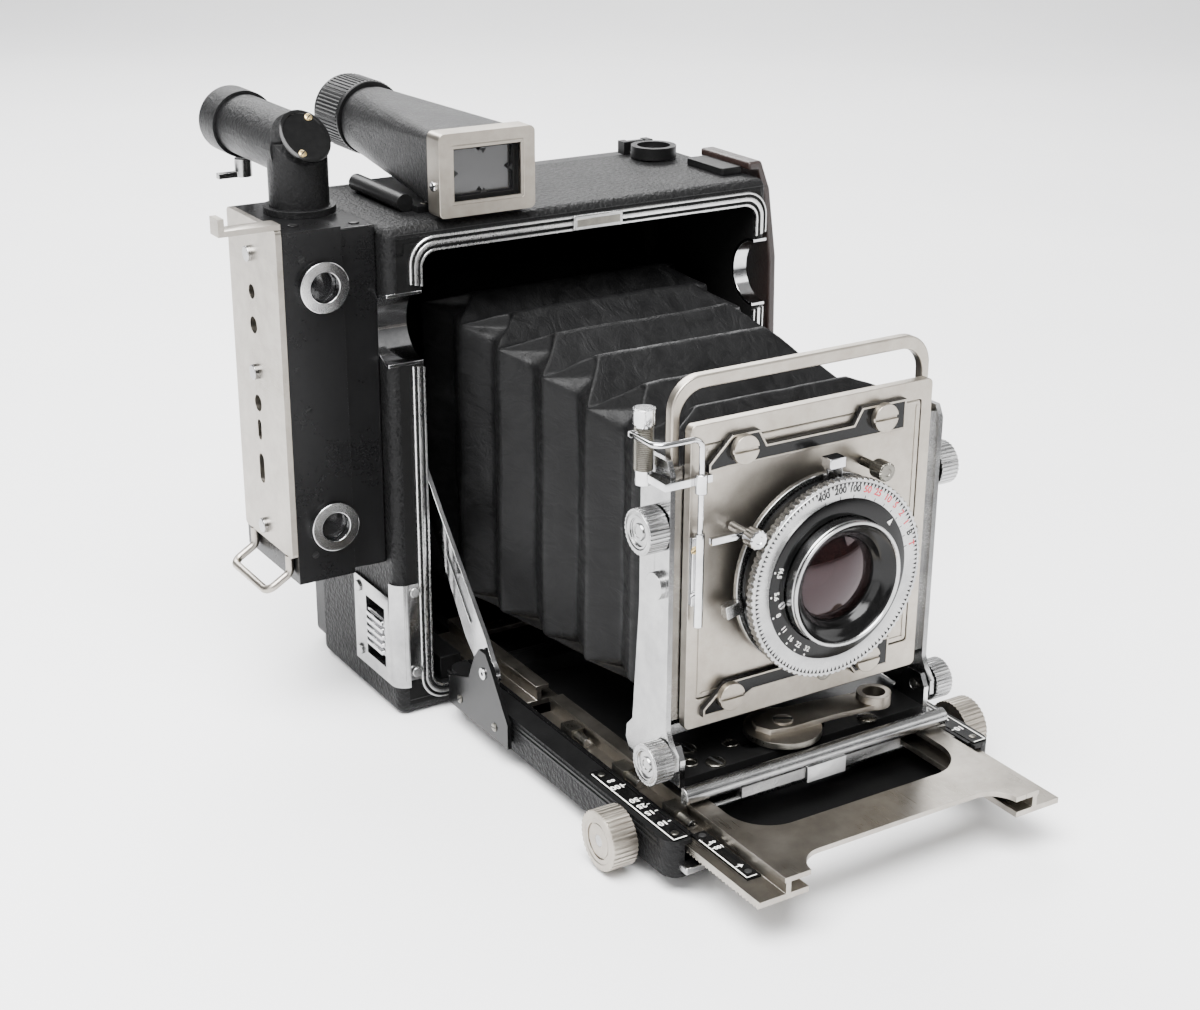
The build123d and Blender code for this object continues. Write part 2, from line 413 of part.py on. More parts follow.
# ---- shutter and lens ---------------------------------------------------
sbod = cy(-105.8, -98.8, 0, LENS_Z, 23.0) + cy(-98.8, -91.0, 0, LENS_Z, 16.6)
sbod -= cy(-120, -80, 0, LENS_Z, 12.4)
sbod -= ring_y(-101.9, -99.7, 0, LENS_Z, 26, 21.9)
save("shutter_body", sbod + ring_y(-108.0, -105.7, 0, LENS_Z, 18.9, 15.6))
sr = ring_y(-108.2, -106.0, 0, LENS_Z, 24.8, 19.1)
sr -= [cy(-110, -104, 25.0 * math.cos(a), LENS_Z + 25.0 * math.sin(a), 0.55) for a in [2 * math.pi * i / 90 for i in range(90)]]
save("speed_ring", sr)
al = ring_y(-101.5, -100.1, 0, LENS_Z, 24.2, 22.2)
a = math.radians(190)
al += Pos(0, 0, LENS_Z) * Rot(0, -190, 0) * Pos(0, 0, -LENS_Z) * bx(23.5, 28.0, -102.6, -100.1, LENS_Z - 1.6, LENS_Z + 1.6)
save("aperture_lever", al)


def post(angle, r, y0, y1, rad):
    t = math.radians(angle)
    return cy(y0, y1, r * math.cos(t), LENS_Z + r * math.sin(t), rad)


cock = post(58, 27.4, -106.6, -102.6, 2.3) + post(58, 27.4, -102.6, -97.3, 1.1)
save("cocking_lever", bx(-1.6, 3.0, -104.4, -102.8, LENS_Z + 23.4, LENS_Z + 29.0) + bx(-1.6, 3.0, -105.4, -101.9, LENS_Z + 26.4, LENS_Z + 29.0))
tl = cy(-108.0, -104.6, -23.2, LENS_Z + 14.6, 2.2) + cy(-104.6, -97.6, -23.2, LENS_Z + 14.6, 1.2) + bx(-33.0, -22.6, -103.6, -102.4, LENS_Z + 13.8, LENS_Z + 15.4)
save("trip_lever", tl)
pegs = []
for a2 in (12, -22, -36):
    pegs.append(Pos(0, 0, LENS_Z) * Rot(0, -a2, 0) * Pos(0, 0, -LENS_Z) * bx(23.05, 27.6, -104.6, -102.2, LENS_Z - 0.9, LENS_Z + 0.9))
pegs.append(cy(-104.6, -98.9, 0.5, LENS_Z - 25.6, 2.4) - cy(-120, -80, 0, LENS_Z, 24.4))
save("shutter_posts", cock, pegs)
cell = cy(-111.6, -105.85, 0, LENS_Z, 15.2) + cy(-112.4, -108.4, 0, LENS_Z, 15.6) + cy(-106.0, -101.0, 0, LENS_Z, 12.3)
cell -= cy(-113, -99, 0, LENS_Z, 10.6)
cell -= cy(-113, -108.0, 0, LENS_Z, 11.4)
save("lens_cell", cell)
glass = cy(-108.6, -104.0, 0, LENS_Z, 10.5)
dome = Pos(0, -108.0 + 24.0, LENS_Z) * Sphere(26.0)
glass = (cy(-112.0, -104.0, 0, LENS_Z, 10.5) & dome)
save("lens_glass", glass, cy(-89.0, -85.0, 0, LENS_Z, 9.55))
save("iris_blades", ring_y(-98.6, -97.6, 0, LENS_Z, 12.35, 4.6))
rcell = ring_y(-96.5, -84.0, 0, LENS_Z, 12.3, 9.6) + ring_y(-90.6, -84.0, 0, LENS_Z, 14.6, 9.6)
save("rear_cell", rcell, ring_y(-95.6, -93.0, 0, LENS_Z, 20.5, 16.65))

# =========================================================================
# BELLOWS: tapered cloth tube in two lengths, one on the body and one on the bed side
# =========================================================================
def tube(y0, y1, a0, a1, t=2.2):
    # a = (half width, z low, z high)
    def sk(y, a, off):
        return Plane.XZ.offset(-y) * (Pos(0, (a[1] + a[2]) / 2) * RectangleRounded(2 * a[0] - 2 * off, a[2] - a[1] - 2 * off, 4.0))
    o = loft(Sketch() + [sk(y0, a0, 0), sk(y1, a1, 0)])
    e = 0.5 / (y1 - y0)
    ax = [a0[i] - (a1[i] - a0[i]) * e for i in range(3)]
    bxx = [a1[i] + (a1[i] - a0[i]) * e for i in range(3)]
    i = loft(Sketch() + [sk(y0 - 0.5, ax, t), sk(y1 + 0.5, bxx, t)])
    return o - i


save("bellows_rear", tube(0.5, 46.0, (38.9, 25.0, 108.4), (42.0, 22.5, 112.5)))
save("bellows_front", tube(-91.6, -1.5, (33.0, 31.5, 103.0), (38.7, 25.0, 108.2)))

print(len(PARTS), "nodes")
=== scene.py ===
import bpy, bmesh, math, json
from mathutils import Vector, Matrix, noise


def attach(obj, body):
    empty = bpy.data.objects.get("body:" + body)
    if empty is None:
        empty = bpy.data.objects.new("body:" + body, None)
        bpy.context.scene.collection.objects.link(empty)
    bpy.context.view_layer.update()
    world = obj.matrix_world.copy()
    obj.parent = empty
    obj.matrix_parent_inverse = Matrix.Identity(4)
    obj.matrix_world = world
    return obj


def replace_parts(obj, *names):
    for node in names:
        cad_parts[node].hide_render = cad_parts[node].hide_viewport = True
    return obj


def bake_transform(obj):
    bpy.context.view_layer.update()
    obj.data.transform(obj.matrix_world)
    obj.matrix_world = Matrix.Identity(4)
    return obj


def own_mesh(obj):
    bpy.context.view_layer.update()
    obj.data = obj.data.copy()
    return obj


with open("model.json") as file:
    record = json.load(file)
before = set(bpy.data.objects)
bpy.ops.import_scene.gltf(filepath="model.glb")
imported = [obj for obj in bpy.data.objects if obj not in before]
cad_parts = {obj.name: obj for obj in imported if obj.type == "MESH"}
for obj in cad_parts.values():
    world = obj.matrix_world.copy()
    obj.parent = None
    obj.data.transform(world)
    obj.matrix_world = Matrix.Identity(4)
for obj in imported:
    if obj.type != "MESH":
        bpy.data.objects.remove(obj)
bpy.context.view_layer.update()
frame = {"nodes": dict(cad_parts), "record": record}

# ---------------------------------------------------------------- frames
OY, OZ = 25.0, -3.5


def V(x, y, z):
    # layout millimetres -> the shared frame in metres
    return Vector((x / 1000.0, (y - OY) / 1000.0, (z - OZ) / 1000.0))


def F(p):
    return Vector((p[0] * 1000.0, p[1] * 1000.0 + OY, p[2] * 1000.0 + OZ))


# ---------------------------------------------------------------- materials
def new_mat(name):
    m = bpy.data.materials.new(name)
    m.use_nodes = True
    nt = m.node_tree
    nt.nodes.clear()
    out = nt.nodes.new("ShaderNodeOutputMaterial")
    b = nt.nodes.new("ShaderNodeBsdfPrincipled")
    nt.links.new(b.outputs["BSDF"], out.inputs["Surface"])
    tc = nt.nodes.new("ShaderNodeTexCoord")
    return m, nt, b, tc


def mapped(nt, tc, scale):
    mp = nt.nodes.new("ShaderNodeMapping")
    mp.inputs["Scale"].default_value = scale
    nt.links.new(tc.outputs["Object"], mp.inputs["Vector"])
    return mp.outputs["Vector"]


def noise_tex(nt, vec, scale, detail=3.0, rough=0.5, dist=0.0):
    n = nt.nodes.new("ShaderNodeTexNoise")
    n.inputs["Scale"].default_value = scale
    n.inputs["Detail"].default_value = detail
    n.inputs["Roughness"].default_value = rough
    n.inputs["Distortion"].default_value = dist
    nt.links.new(vec, n.inputs["Vector"])
    return n.outputs["Fac"]


def voro(nt, vec, scale, feature="F1", smooth=None):
    n = nt.nodes.new("ShaderNodeTexVoronoi")
    n.feature = feature
    n.inputs["Scale"].default_value = scale
    if smooth is not None and "Smoothness" in n.inputs:
        n.inputs["Smoothness"].default_value = smooth
    nt.links.new(vec, n.inputs["Vector"])
    return n.outputs["Distance"]


def remap(nt, fac, a, b, c, d):
    n = nt.nodes.new("ShaderNodeMapRange")
    n.inputs["From Min"].default_value = a
    n.inputs["From Max"].default_value = b
    n.inputs["To Min"].default_value = c
    n.inputs["To Max"].default_value = d
    nt.links.new(fac, n.inputs["Value"])
    return n.outputs["Result"]


def mixc(nt, fac, c1, c2):
    n = nt.nodes.new("ShaderNodeMix")
    n.data_type = "RGBA"
    nt.links.new(fac, n.inputs[0])
    for sock, c in ((n.inputs[6], c1), (n.inputs[7], c2)):
        if hasattr(c, "is_output"):
            nt.links.new(c, sock)
        else:
            sock.default_value = (c[0], c[1], c[2], 1)
    return n.outputs[2]


def maths(nt, op, a, b):
    n = nt.nodes.new("ShaderNodeMath")
    n.operation = op
    for i, v in enumerate((a, b)):
        if hasattr(v, "is_output"):
            nt.links.new(v, n.inputs[i])
        else:
            n.inputs[i].default_value = v
    return n.outputs[0]


def bump(nt, height, dist, strength=1.0, prev=None):
    n = nt.nodes.new("ShaderNodeBump")
    n.inputs["Strength"].default_value = strength
    n.inputs["Distance"].default_value = dist
    nt.links.new(height, n.inputs["Height"])
    if prev is not None:
        nt.links.new(prev, n.inputs["Normal"])
    return n.outputs["Normal"]


def leather(name, c1, c2, cell, rough=(0.38, 0.6), depth=0.00018, spec=0.5):
    m, nt, b, tc = new_mat(name)
    v = mapped(nt, tc, (1, 1, 1))
    v1 = voro(nt, v, cell, "SMOOTH_F1", 0.35)
    v2 = voro(nt, v, cell * 2.3, "F1")
    fine = noise_tex(nt, v, cell * 3.2, 3, 0.6)
    big = noise_tex(nt, v, 60, 3, 0.55)
    h = maths(nt, "ADD", maths(nt, "MULTIPLY", v1, -0.7), maths(nt, "MULTIPLY", v2, -0.3))
    h = maths(nt, "ADD", h, maths(nt, "MULTIPLY", fine, 0.25))
    nt.links.new(bump(nt, h, depth, 0.9), b.inputs["Normal"])
    tone = maths(nt, "ADD", maths(nt, "MULTIPLY", big, 0.7), maths(nt, "MULTIPLY", v1, 0.5))
    nt.links.new(mixc(nt, remap(nt, tone, 0.25, 0.95, 0, 1), c1, c2), b.inputs["Base Color"])
    nt.links.new(remap(nt, maths(nt, "ADD", maths(nt, "MULTIPLY", big, 0.5), maths(nt, "MULTIPLY", v1, 0.5)), 0.2, 0.8, rough[0], rough[1]), b.inputs["Roughness"])
    b.inputs["Specular IOR Level"].default_value = spec
    return m


def cloth_mat(name, c1, c2):
    m, nt, b, tc = new_mat(name)
    v = mapped(nt, tc, (1, 1, 1))
    vr = mapped(nt, tc, (1.0, 0.28, 1.0))
    grain = voro(nt, v, 1700, "F1")
    fine = noise_tex(nt, v, 3600, 2, 0.6)
    wr = noise_tex(nt, vr, 210, 5, 0.62, 1.6)
    big = noise_tex(nt, v, 38, 3, 0.5)
    h = maths(nt, "ADD", maths(nt, "MULTIPLY", grain, -0.35), maths(nt, "MULTIPLY", fine, 0.22))
    n1 = bump(nt, h, 0.00010, 0.8)
    n2 = bump(nt, wr, 0.00055, 0.55, n1)
    nt.links.new(n2, b.inputs["Normal"])
    nt.links.new(mixc(nt, remap(nt, maths(nt, "ADD", maths(nt, "MULTIPLY", big, 0.6), maths(nt, "MULTIPLY", wr, 0.4)), 0.3, 0.7, 0, 1), c1, c2), b.inputs["Base Color"])
    nt.links.new(remap(nt, wr, 0.35, 0.68, 0.36, 0.60), b.inputs["Roughness"])
    b.inputs["Specular IOR Level"].default_value = 0.14
    return m


def metal(name, c1, c2, rough=(0.2, 0.34), grain=(4000, 4000, 4000), depth=0.000006, spots=0.0, spot_c=(0.25, 0.2, 0.15)):
    m, nt, b, tc = new_mat(name)
    v = mapped(nt, tc, (1, 1, 1))
    g = noise_tex(nt, mapped(nt, tc, grain), 1.0, 3, 0.6)
    big = noise_tex(nt, v, 55, 4, 0.6)
    mid = noise_tex(nt, v, 260, 4, 0.65)
    col = mixc(nt, remap(nt, maths(nt, "ADD", maths(nt, "MULTIPLY", big, 0.6), maths(nt, "MULTIPLY", mid, 0.4)), 0.32, 0.68, 0, 1), c1, c2)
    if spots > 0:
        sp = remap(nt, noise_tex(nt, v, 700, 5, 0.7), 0.62, 0.74, 0, spots)
        col = mixc(nt, sp, col, spot_c)
    nt.links.new(col, b.inputs["Base Color"])
    b.inputs["Metallic"].default_value = 1.0
    r = maths(nt, "ADD", maths(nt, "MULTIPLY", big, 0.45), maths(nt, "MULTIPLY", g, 0.55))
    nt.links.new(remap(nt, r, 0.3, 0.7, rough[0], rough[1]), b.inputs["Roughness"])
    nt.links.new(bump(nt, g, depth, 0.8), b.inputs["Normal"])
    return m


def paint(name, c1, c2, rough=(0.15, 0.3), grain=900, depth=0.00002, coat=0.0, kind="smooth", spec=0.15):
    m, nt, b, tc = new_mat(name)
    v = mapped(nt, tc, (1, 1, 1))
    big = noise_tex(nt, v, 70, 4, 0.6)
    fine = noise_tex(nt, v, grain, 4, 0.6)
    if kind == "crinkle":
        w = noise_tex(nt, v, 1300, 4, 0.6, 2.2)
        vv = voro(nt, v, 950, "F1")
        h = maths(nt, "ADD", maths(nt, "MULTIPLY", w, 0.7), maths(nt, "MULTIPLY", vv, 0.4))
    else:
        h = fine
    nt.links.new(bump(nt, h, depth, 0.85), b.inputs["Normal"])
    sc = remap(nt, maths(nt, "ADD", maths(nt, "MULTIPLY", big, 0.5), maths(nt, "MULTIPLY", fine, 0.5)), 0.3, 0.7, 0, 1)
    nt.links.new(mixc(nt, sc, c1, c2), b.inputs["Base Color"])
    nt.links.new(remap(nt, maths(nt, "ADD", maths(nt, "MULTIPLY", big, 0.6), maths(nt, "MULTIPLY", fine, 0.4)), 0.3, 0.7, rough[0], rough[1]), b.inputs["Roughness"])
    b.inputs["Specular IOR Level"].default_value = spec
    b.inputs["Coat Weight"].default_value = coat
    b.inputs["Coat Roughness"].default_value = 0.12
    return m


def glass_mat(name, tint, rough=0.02, trans=0.9, coat_c=(1, 1, 1)):
    m, nt, b, tc = new_mat(name)
    v = mapped(nt, tc, (1, 1, 1))
    n = noise_tex(nt, v, 90, 3, 0.5)
    nt.links.new(mixc(nt, remap(nt, n, 0.3, 0.7, 0, 1), tint, tuple(t * 0.9 for t in tint)), b.inputs["Base Color"])
    nt.links.new(remap(nt, n, 0.3, 0.7, rough, rough + 0.03), b.inputs["Roughness"])
    b.inputs["Transmission Weight"].default_value = trans
    b.inputs["IOR"].default_value = 1.5
    b.inputs["Specular Tint"].default_value = (coat_c[0], coat_c[1], coat_c[2], 1)
    b.inputs["Coat Weight"].default_value = 0.4
    b.inputs["Coat Roughness"].default_value = 0.03
    b.inputs["Coat Tint"].default_value = (coat_c[0], coat_c[1], coat_c[2], 1)
    return m


M = {}
M["leather"] = leather("leather_black", (0.0020, 0.0020, 0.0021), (0.0060, 0.0060, 0.0062), 820, (0.42, 0.62), 0.00042, 0.14)
M["strap"] = leather("leather_strap", (0.0085, 0.0045, 0.0038), (0.020, 0.010, 0.008), 1500, (0.3, 0.5), 0.00009)
M["cloth"] = cloth_mat("bellows_cloth", (0.0016, 0.0016, 0.0017), (0.0048, 0.0048, 0.0050))
M["nickel"] = metal("satin_nickel", (0.29, 0.262, 0.222), (0.44, 0.405, 0.355), (0.28, 0.44), (5200, 5200, 5200), 0.000012, 0.35, (0.30, 0.23, 0.16))
M["nickel_l"] = metal("nickel_long_grain", (0.26, 0.24, 0.208), (0.42, 0.39, 0.35), (0.24, 0.40), (5200, 90, 5200), 0.00001, 0.25, (0.28, 0.22, 0.16))
M["chrome"] = metal("bright_chrome", (0.38, 0.38, 0.39), (0.66, 0.66, 0.66), (0.06, 0.2), (2600, 2600, 2600), 0.000003, 0.12, (0.35, 0.32, 0.28))
M["satin_chrome"] = metal("satin_chrome", (0.26, 0.26, 0.262), (0.46, 0.46, 0.455), (0.16, 0.32), (4200, 4200, 4200), 0.000008, 0.12, (0.35, 0.32, 0.28))
M["trim"] = metal("trim_aluminium", (0.50, 0.50, 0.50), (0.72, 0.72, 0.71), (0.2, 0.36), (3800, 3800, 900), 0.000006, 0.2, (0.28, 0.26, 0.24))
M["darksteel"] = metal("dark_steel", (0.10, 0.095, 0.085), (0.24, 0.23, 0.2), (0.22, 0.4), (3000, 3000, 3000), 0.000008)
M["brass"] = metal("aged_brass", (0.50, 0.36, 0.15), (0.74, 0.58, 0.30), (0.2, 0.35), (2400, 2400, 2400), 0.000006)
M["enamel"] = paint("black_enamel", (0.0020, 0.0020, 0.0021), (0.0045, 0.0045, 0.0045), (0.12, 0.26), 700, 0.000012, 0.12)
M["satin"] = paint("black_satin", (0.0032, 0.0032, 0.0034), (0.0075, 0.0075, 0.0075), (0.3, 0.46), 1600, 0.00003)
M["matte"] = paint("black_flock", (0.0012, 0.0012, 0.0012), (0.0028, 0.0028, 0.0028), (0.75, 0.95), 2600, 0.00008)
M["crinkle"] = paint("black_crinkle", (0.0030, 0.0030, 0.0032), (0.0085, 0.0085, 0.0088), (0.26, 0.46), 1500, 0.00032, 0.0, "crinkle")
M["housing"] = paint("black_housing", (0.0030, 0.0030, 0.0032), (0.0050, 0.0050, 0.0052), (0.24, 0.34), 900, 0.00003, 0.06)
M["white"] = paint("white_fill", (0.72, 0.71, 0.68), (0.86, 0.85, 0.82), (0.45, 0.6), 1500, 0.00001)
M["red"] = paint("red_fill", (0.42, 0.03, 0.05), (0.62, 0.07, 0.09), (0.45, 0.6), 1500, 0.00001)
# black for print, seams and groove fill, also used as painted shade in screw slots and the speed ring's rim notches
M["ink"] = paint("black_fill", (0.008, 0.008, 0.008), (0.02, 0.02, 0.02), (0.4, 0.6), 1500, 0.00001)
M["thread"] = paint("stitch_thread", (0.05, 0.035, 0.025), (0.10, 0.07, 0.05), (0.6, 0.8), 4200, 0.00005)
M["lens"] = glass_mat("coated_glass", (0.085, 0.046, 0.042), 0.012, 0.9, (0.42, 0.26, 0.30))
M["darkglass"] = glass_mat("window_glass", (0.10, 0.10, 0.105), 0.02, 0.88)
M["clear"] = glass_mat("clear_glass", (0.82, 0.84, 0.84), 0.02, 0.85)
M["ground"] = glass_mat("ground_glass", (0.78, 0.80, 0.78), 0.45, 0.55)
M["mirror"] = metal("tinted_mirror", (0.30, 0.28, 0.26), (0.46, 0.44, 0.42), (0.03, 0.08), (900, 900, 900), 0.000001)

BODY_OF = {n: b for b, ns in frame["record"]["behaviour"]["bodies"].items() for n in ns}


# ---------------------------------------------------------------- mesh helpers
def link(me, name, mats, body, smooth=35.0):
    o = bpy.data.objects.new(name, me)
    bpy.context.scene.collection.objects.link(o)
    if not isinstance(mats, (list, tuple)):
        mats = [mats]
    for k in mats:
        me.materials.append(M[k])
    if smooth:
        for p in me.polygons:
            p.use_smooth = True
        me.set_sharp_from_angle(angle=math.radians(smooth))
    if body:
        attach(o, body)
    return o


def from_bm(bm, name, mats, body, smooth=35.0, bevel=0.0, segs=2):
    me = bpy.data.meshes.new(name)
    bm.normal_update()
    bm.to_mesh(me)
    bm.free()
    o = link(me, name, mats, body, smooth)
    if bevel:
        add_bevel(o, bevel, segs)
    return o


def add_bevel(o, w, segs=2, ang=32):
    md = o.modifiers.new("soft_edge", "BEVEL")
    md.width = w / 1000.0
    md.segments = segs
    md.limit_method = "ANGLE"
    md.angle_limit = math.radians(ang)
    md.use_clamp_overlap = True
    md.harden_normals = False
    return md


def islands(bm):
    seen, out = set(), []
    for f in bm.faces:
        if f in seen:
            continue
        stack, grp = [f], []
        seen.add(f)
        while stack:
            g = stack.pop()
            grp.append(g)
            for e in g.edges:
                for h in e.link_faces:
                    if h not in seen:
                        seen.add(h)
                        stack.append(h)
        out.append(grp)
    return out


def dress(node, mats, pick=None, bevel=0.25, segs=2, name=None, drop=None, ang=32):
    """A refined copy of a CAD node: merged, edges softened, material chosen face by face."""
    src = frame["nodes"][node]
    bm = bmesh.new()
    bm.from_mesh(src.data)
    bmesh.ops.remove_doubles(bm, verts=bm.verts, dist=1e-6)
    bmesh.ops.dissolve_degenerate(bm, edges=bm.edges, dist=1e-7)
    bmesh.ops.dissolve_limit(bm, angle_limit=math.radians(0.6), verts=bm.verts, edges=bm.edges, delimit={"NORMAL"})
    bm.faces.ensure_lookup_table()
    bm.normal_update()
    if not isinstance(mats, (list, tuple)):
        mats = [mats]
    if pick or drop:
        gone = []
        for grp in islands(bm):
            lo, hi = Vector((1e9,) * 3), Vector((-1e9,) * 3)
            for f in grp:
                for v in f.verts:
                    p = F(v.co)
                    lo = Vector(map(min, lo, p))
                    hi = Vector(map(max, hi, p))
            if drop and drop(lo, hi):
                gone += grp
                continue
            if pick:
                for f in grp:
                    f.material_index = pick(F(f.calc_center_median()), f.normal, lo, hi)
        if gone:
            bmesh.ops.delete(bm, geom=gone, context="FACES")
    o = from_bm(bm, name or node + "_look", mats, BODY_OF[node], 35.0, bevel, segs)
    if bevel:
        o.modifiers[0].angle_limit = math.radians(ang)
    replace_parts(o, node)
    return o


def grid_faces(bm, rows, closed=True, cap0=False, cap1=False, mi=0):
    vr = [[bm.verts.new(p) for p in r] for r in rows]
    n = len(rows[0])
    for i in range(len(rows) - 1):
        for j in range(n if closed else n - 1):
            k = (j + 1) % n
            f = bm.faces.new((vr[i][j], vr[i][k], vr[i + 1][k], vr[i + 1][j]))
            f.material_index = mi
    if cap0:
        bm.faces.new(list(reversed(vr[0]))).material_index = mi
    if cap1:
        bm.faces.new(vr[-1]).material_index = mi
    return vr


def fixn(bm):
    bmesh.ops.recalc_face_normals(bm, faces=bm.faces)


def bm_box(bm, x0, x1, y0, y1, z0, z1, mi=0):
    r = bmesh.ops.create_cube(bm, size=1.0)
    c = V((x0 + x1) / 2, (y0 + y1) / 2, (z0 + z1) / 2)
    for v in r["verts"]:
        v.co = Vector((v.co.x * abs(x1 - x0) / 1000, v.co.y * abs(y1 - y0) / 1000, v.co.z * abs(z1 - z0) / 1000)) + c
    for f in {f for v in r["verts"] for f in v.link_faces}:
        f.material_index = mi


def frame_of(d):
    d = d.normalized()
    t = Vector((0, 0, 1)) if abs(d.z) < 0.9 else Vector((1, 0, 0))
    a = d.cross(t).normalized()
    return a, d.cross(a).normalized()


def bm_tube(bm, pts, r, n=16, caps=True, mi=0):
    """round bar along points (row-frame vectors), r in mm or a list"""
    rows = []
    prev = None
    for i, p in enumerate(pts):
        if i == 0:
            d = pts[1] - pts[0]
        elif i == len(pts) - 1:
            d = pts[-1] - pts[-2]
        else:
            d = (pts[i + 1] - pts[i]).normalized() + (pts[i] - pts[i - 1]).normalized()
        d.normalize()
        if prev is None:
            a, b = frame_of(d)
        else:
            a = (prev - d * prev.dot(d)).normalized()
            b = d.cross(a).normalized()
        prev = a
        rr = (r[i] if isinstance(r, (list, tuple)) else r) / 1000
        rows.append([p + a * (rr * math.cos(2 * math.pi * k / n)) + b * (rr * math.sin(2 * math.pi * k / n)) for k in range(n)])
    grid_faces(bm, rows, True, caps, caps, mi)


def bm_lathe(bm, prof, cx_, cz_, n=96, axis="y", mis=None, closed=False):
    """prof: list of (r, y) about the axis; mis: material index per segment"""
    rows = []
    for r, y in prof:
        row = []
        for k in range(n):
            a = 2 * math.pi * k / n
            if axis == "y":
                row.append(V(cx_ + r * math.cos(a), y, cz_ + r * math.sin(a)))
            elif axis == "x":
                row.append(V(y, cx_ + r * math.cos(a), cz_ + r * math.sin(a)))
            else:
                row.append(V(cx_ + r * math.cos(a), cz_ + r * math.sin(a), y))
        rows.append([bm.verts.new(p) for p in row])
    for i in range(len(rows) - 1):
        for k in range(n):
            j = (k + 1) % n
            f = bm.faces.new((rows[i][k], rows[i][j], rows[i + 1][j], rows[i + 1][k]))
            if mis:
                f.material_index = mis[i]


def label(text, size, at, xdir, ydir, mat, body, name, depth=0.03, bold=0.0, align="CENTER"):
    cu = bpy.data.curves.new(name + "_c", "FONT")
    cu.body = text
    cu.size = size / 1000.0
    cu.align_x = align
    cu.align_y = "CENTER"
    cu.extrude = depth / 1000.0
    cu.offset = bold / 1000.0
    cu.resolution_u = 3
    ob = bpy.data.objects.new(name + "_t", cu)
    bpy.context.scene.collection.objects.link(ob)
    bpy.context.view_layer.update()
    dg = bpy.context.evaluated_depsgraph_get()
    me = bpy.data.meshes.new_from_object(ob.evaluated_get(dg))
    bpy.data.objects.remove(ob)
    bpy.data.curves.remove(cu)
    x = Vector(xdir).normalized()
    y = Vector(ydir).normalized()
    z = x.cross(y)
    mt = Matrix((x, y, z)).transposed().to_4x4()
    me.transform(Matrix.Translation(V(*at)) @ mt)
    me.name = name
    me.materials.clear()
    return link(me, name, mat, body, 0)


def eight(size, at, xdir, ydir, mat, body, name, w=0.22):
    """infinity mark as a flat looped line"""
    x = Vector(xdir).normalized()
    y = Vector(ydir).normalized()
    bm = bmesh.new()
    rows = []
    n = 40
    c = V(*at)
    pts = []
    for i in range(n):
        t = 2 * math.pi * i / n
        s = math.sin(t)
        pts.append((size * math.cos(t) / (1 + s * s), size * 1.25 * math.sin(t) * math.cos(t) / (1 + s * s)))
    z = x.cross(y)
    for i in range(n):
        a, b_, cc = pts[i - 1], pts[i], pts[(i + 1) % n]
        d = Vector((cc[0] - a[0], cc[1] - a[1])).normalized()
        nn = Vector((-d.y, d.x)) * w
        rows.append([c + (x * (b_[0] + nn.x * s) + y * (b_[1] + nn.y * s)) / 1000 + z * h / 1000 for s, h in ((-1, 0.0), (-1, 0.05), (1, 0.05), (1, 0.0))])
    rows.append(rows[0])
    grid_faces(bm, rows, False)
    bmesh.ops.remove_doubles(bm, verts=bm.verts, dist=1e-7)
    fixn(bm)
    return from_bm(bm, name, mat, body, 0)


def rr_pts(x0, x1, z0, z1, r, n=8):
    """rounded rectangle outline, counter-clockwise"""
    out = []
    for cx_, cz_, a0 in ((x1 - r, z1 - r, 0), (x0 + r, z1 - r, 90), (x0 + r, z0 + r, 180), (x1 - r, z0 + r, 270)):
        for k in range(n + 1):
            a = math.radians(a0 + 90.0 * k / n)
            out.append((cx_ + r * math.cos(a), cz_ + r * math.sin(a)))
    return out


def screw(name, at, axis, r, h, mat, body, slot_ang=20, dome=0.35, slot_w=0.16):
    """slotted screw head; at = centre of its base in layout mm, axis = outward direction"""
    d = Vector(axis).normalized()
    a, b_ = frame_of(d)
    bm = bmesh.new()
    prof = [(r, 0), (r, h * 0.55), (r * 0.92, h * 0.8), (r * 0.7, h * 0.93), (r * 0.35, h), (0.001, h)]
    rows = []
    c = V(*at)
    ca, sa = math.cos(math.radians(slot_ang)), math.sin(math.radians(slot_ang))
    sx, sy = a * ca + b_ * sa, -a * sa + b_ * ca
    n = 28
    for rr, hh in prof:
        rows.append([c + (sx * (rr * math.cos(2 * math.pi * k / n)) + sy * (rr * math.sin(2 * math.pi * k / n)) + d * hh) / 1000 for k in range(n)])
    grid_faces(bm, rows, True)
    # slot as a dark inset bar: painted shade of the recessed slot, not the head's own colour
    for s in ((-r * 0.93, r * 0.93),):
        p = [c + (sx * u + sy * v + d * (h * 1.012)) / 1000 for u, v in ((s[0], -r * slot_w), (s[1], -r * slot_w), (s[1], r * slot_w), (s[0], r * slot_w))]
        q = [w - d * (h * 0.35) / 1000 for w in p]
        vv = [bm.verts.new(w) for w in p]
        ww = [bm.verts.new(w) for w in q]
        f = bm.faces.new(vv)
        f.material_index = 1
        for i in range(4):
            g = bm.faces.new((vv[i], ww[i], ww[(i + 1) % 4], vv[(i + 1) % 4]))
            g.material_index = 1
    fixn(bm)
    return from_bm(bm, name, [mat, "ink"], body, 40)


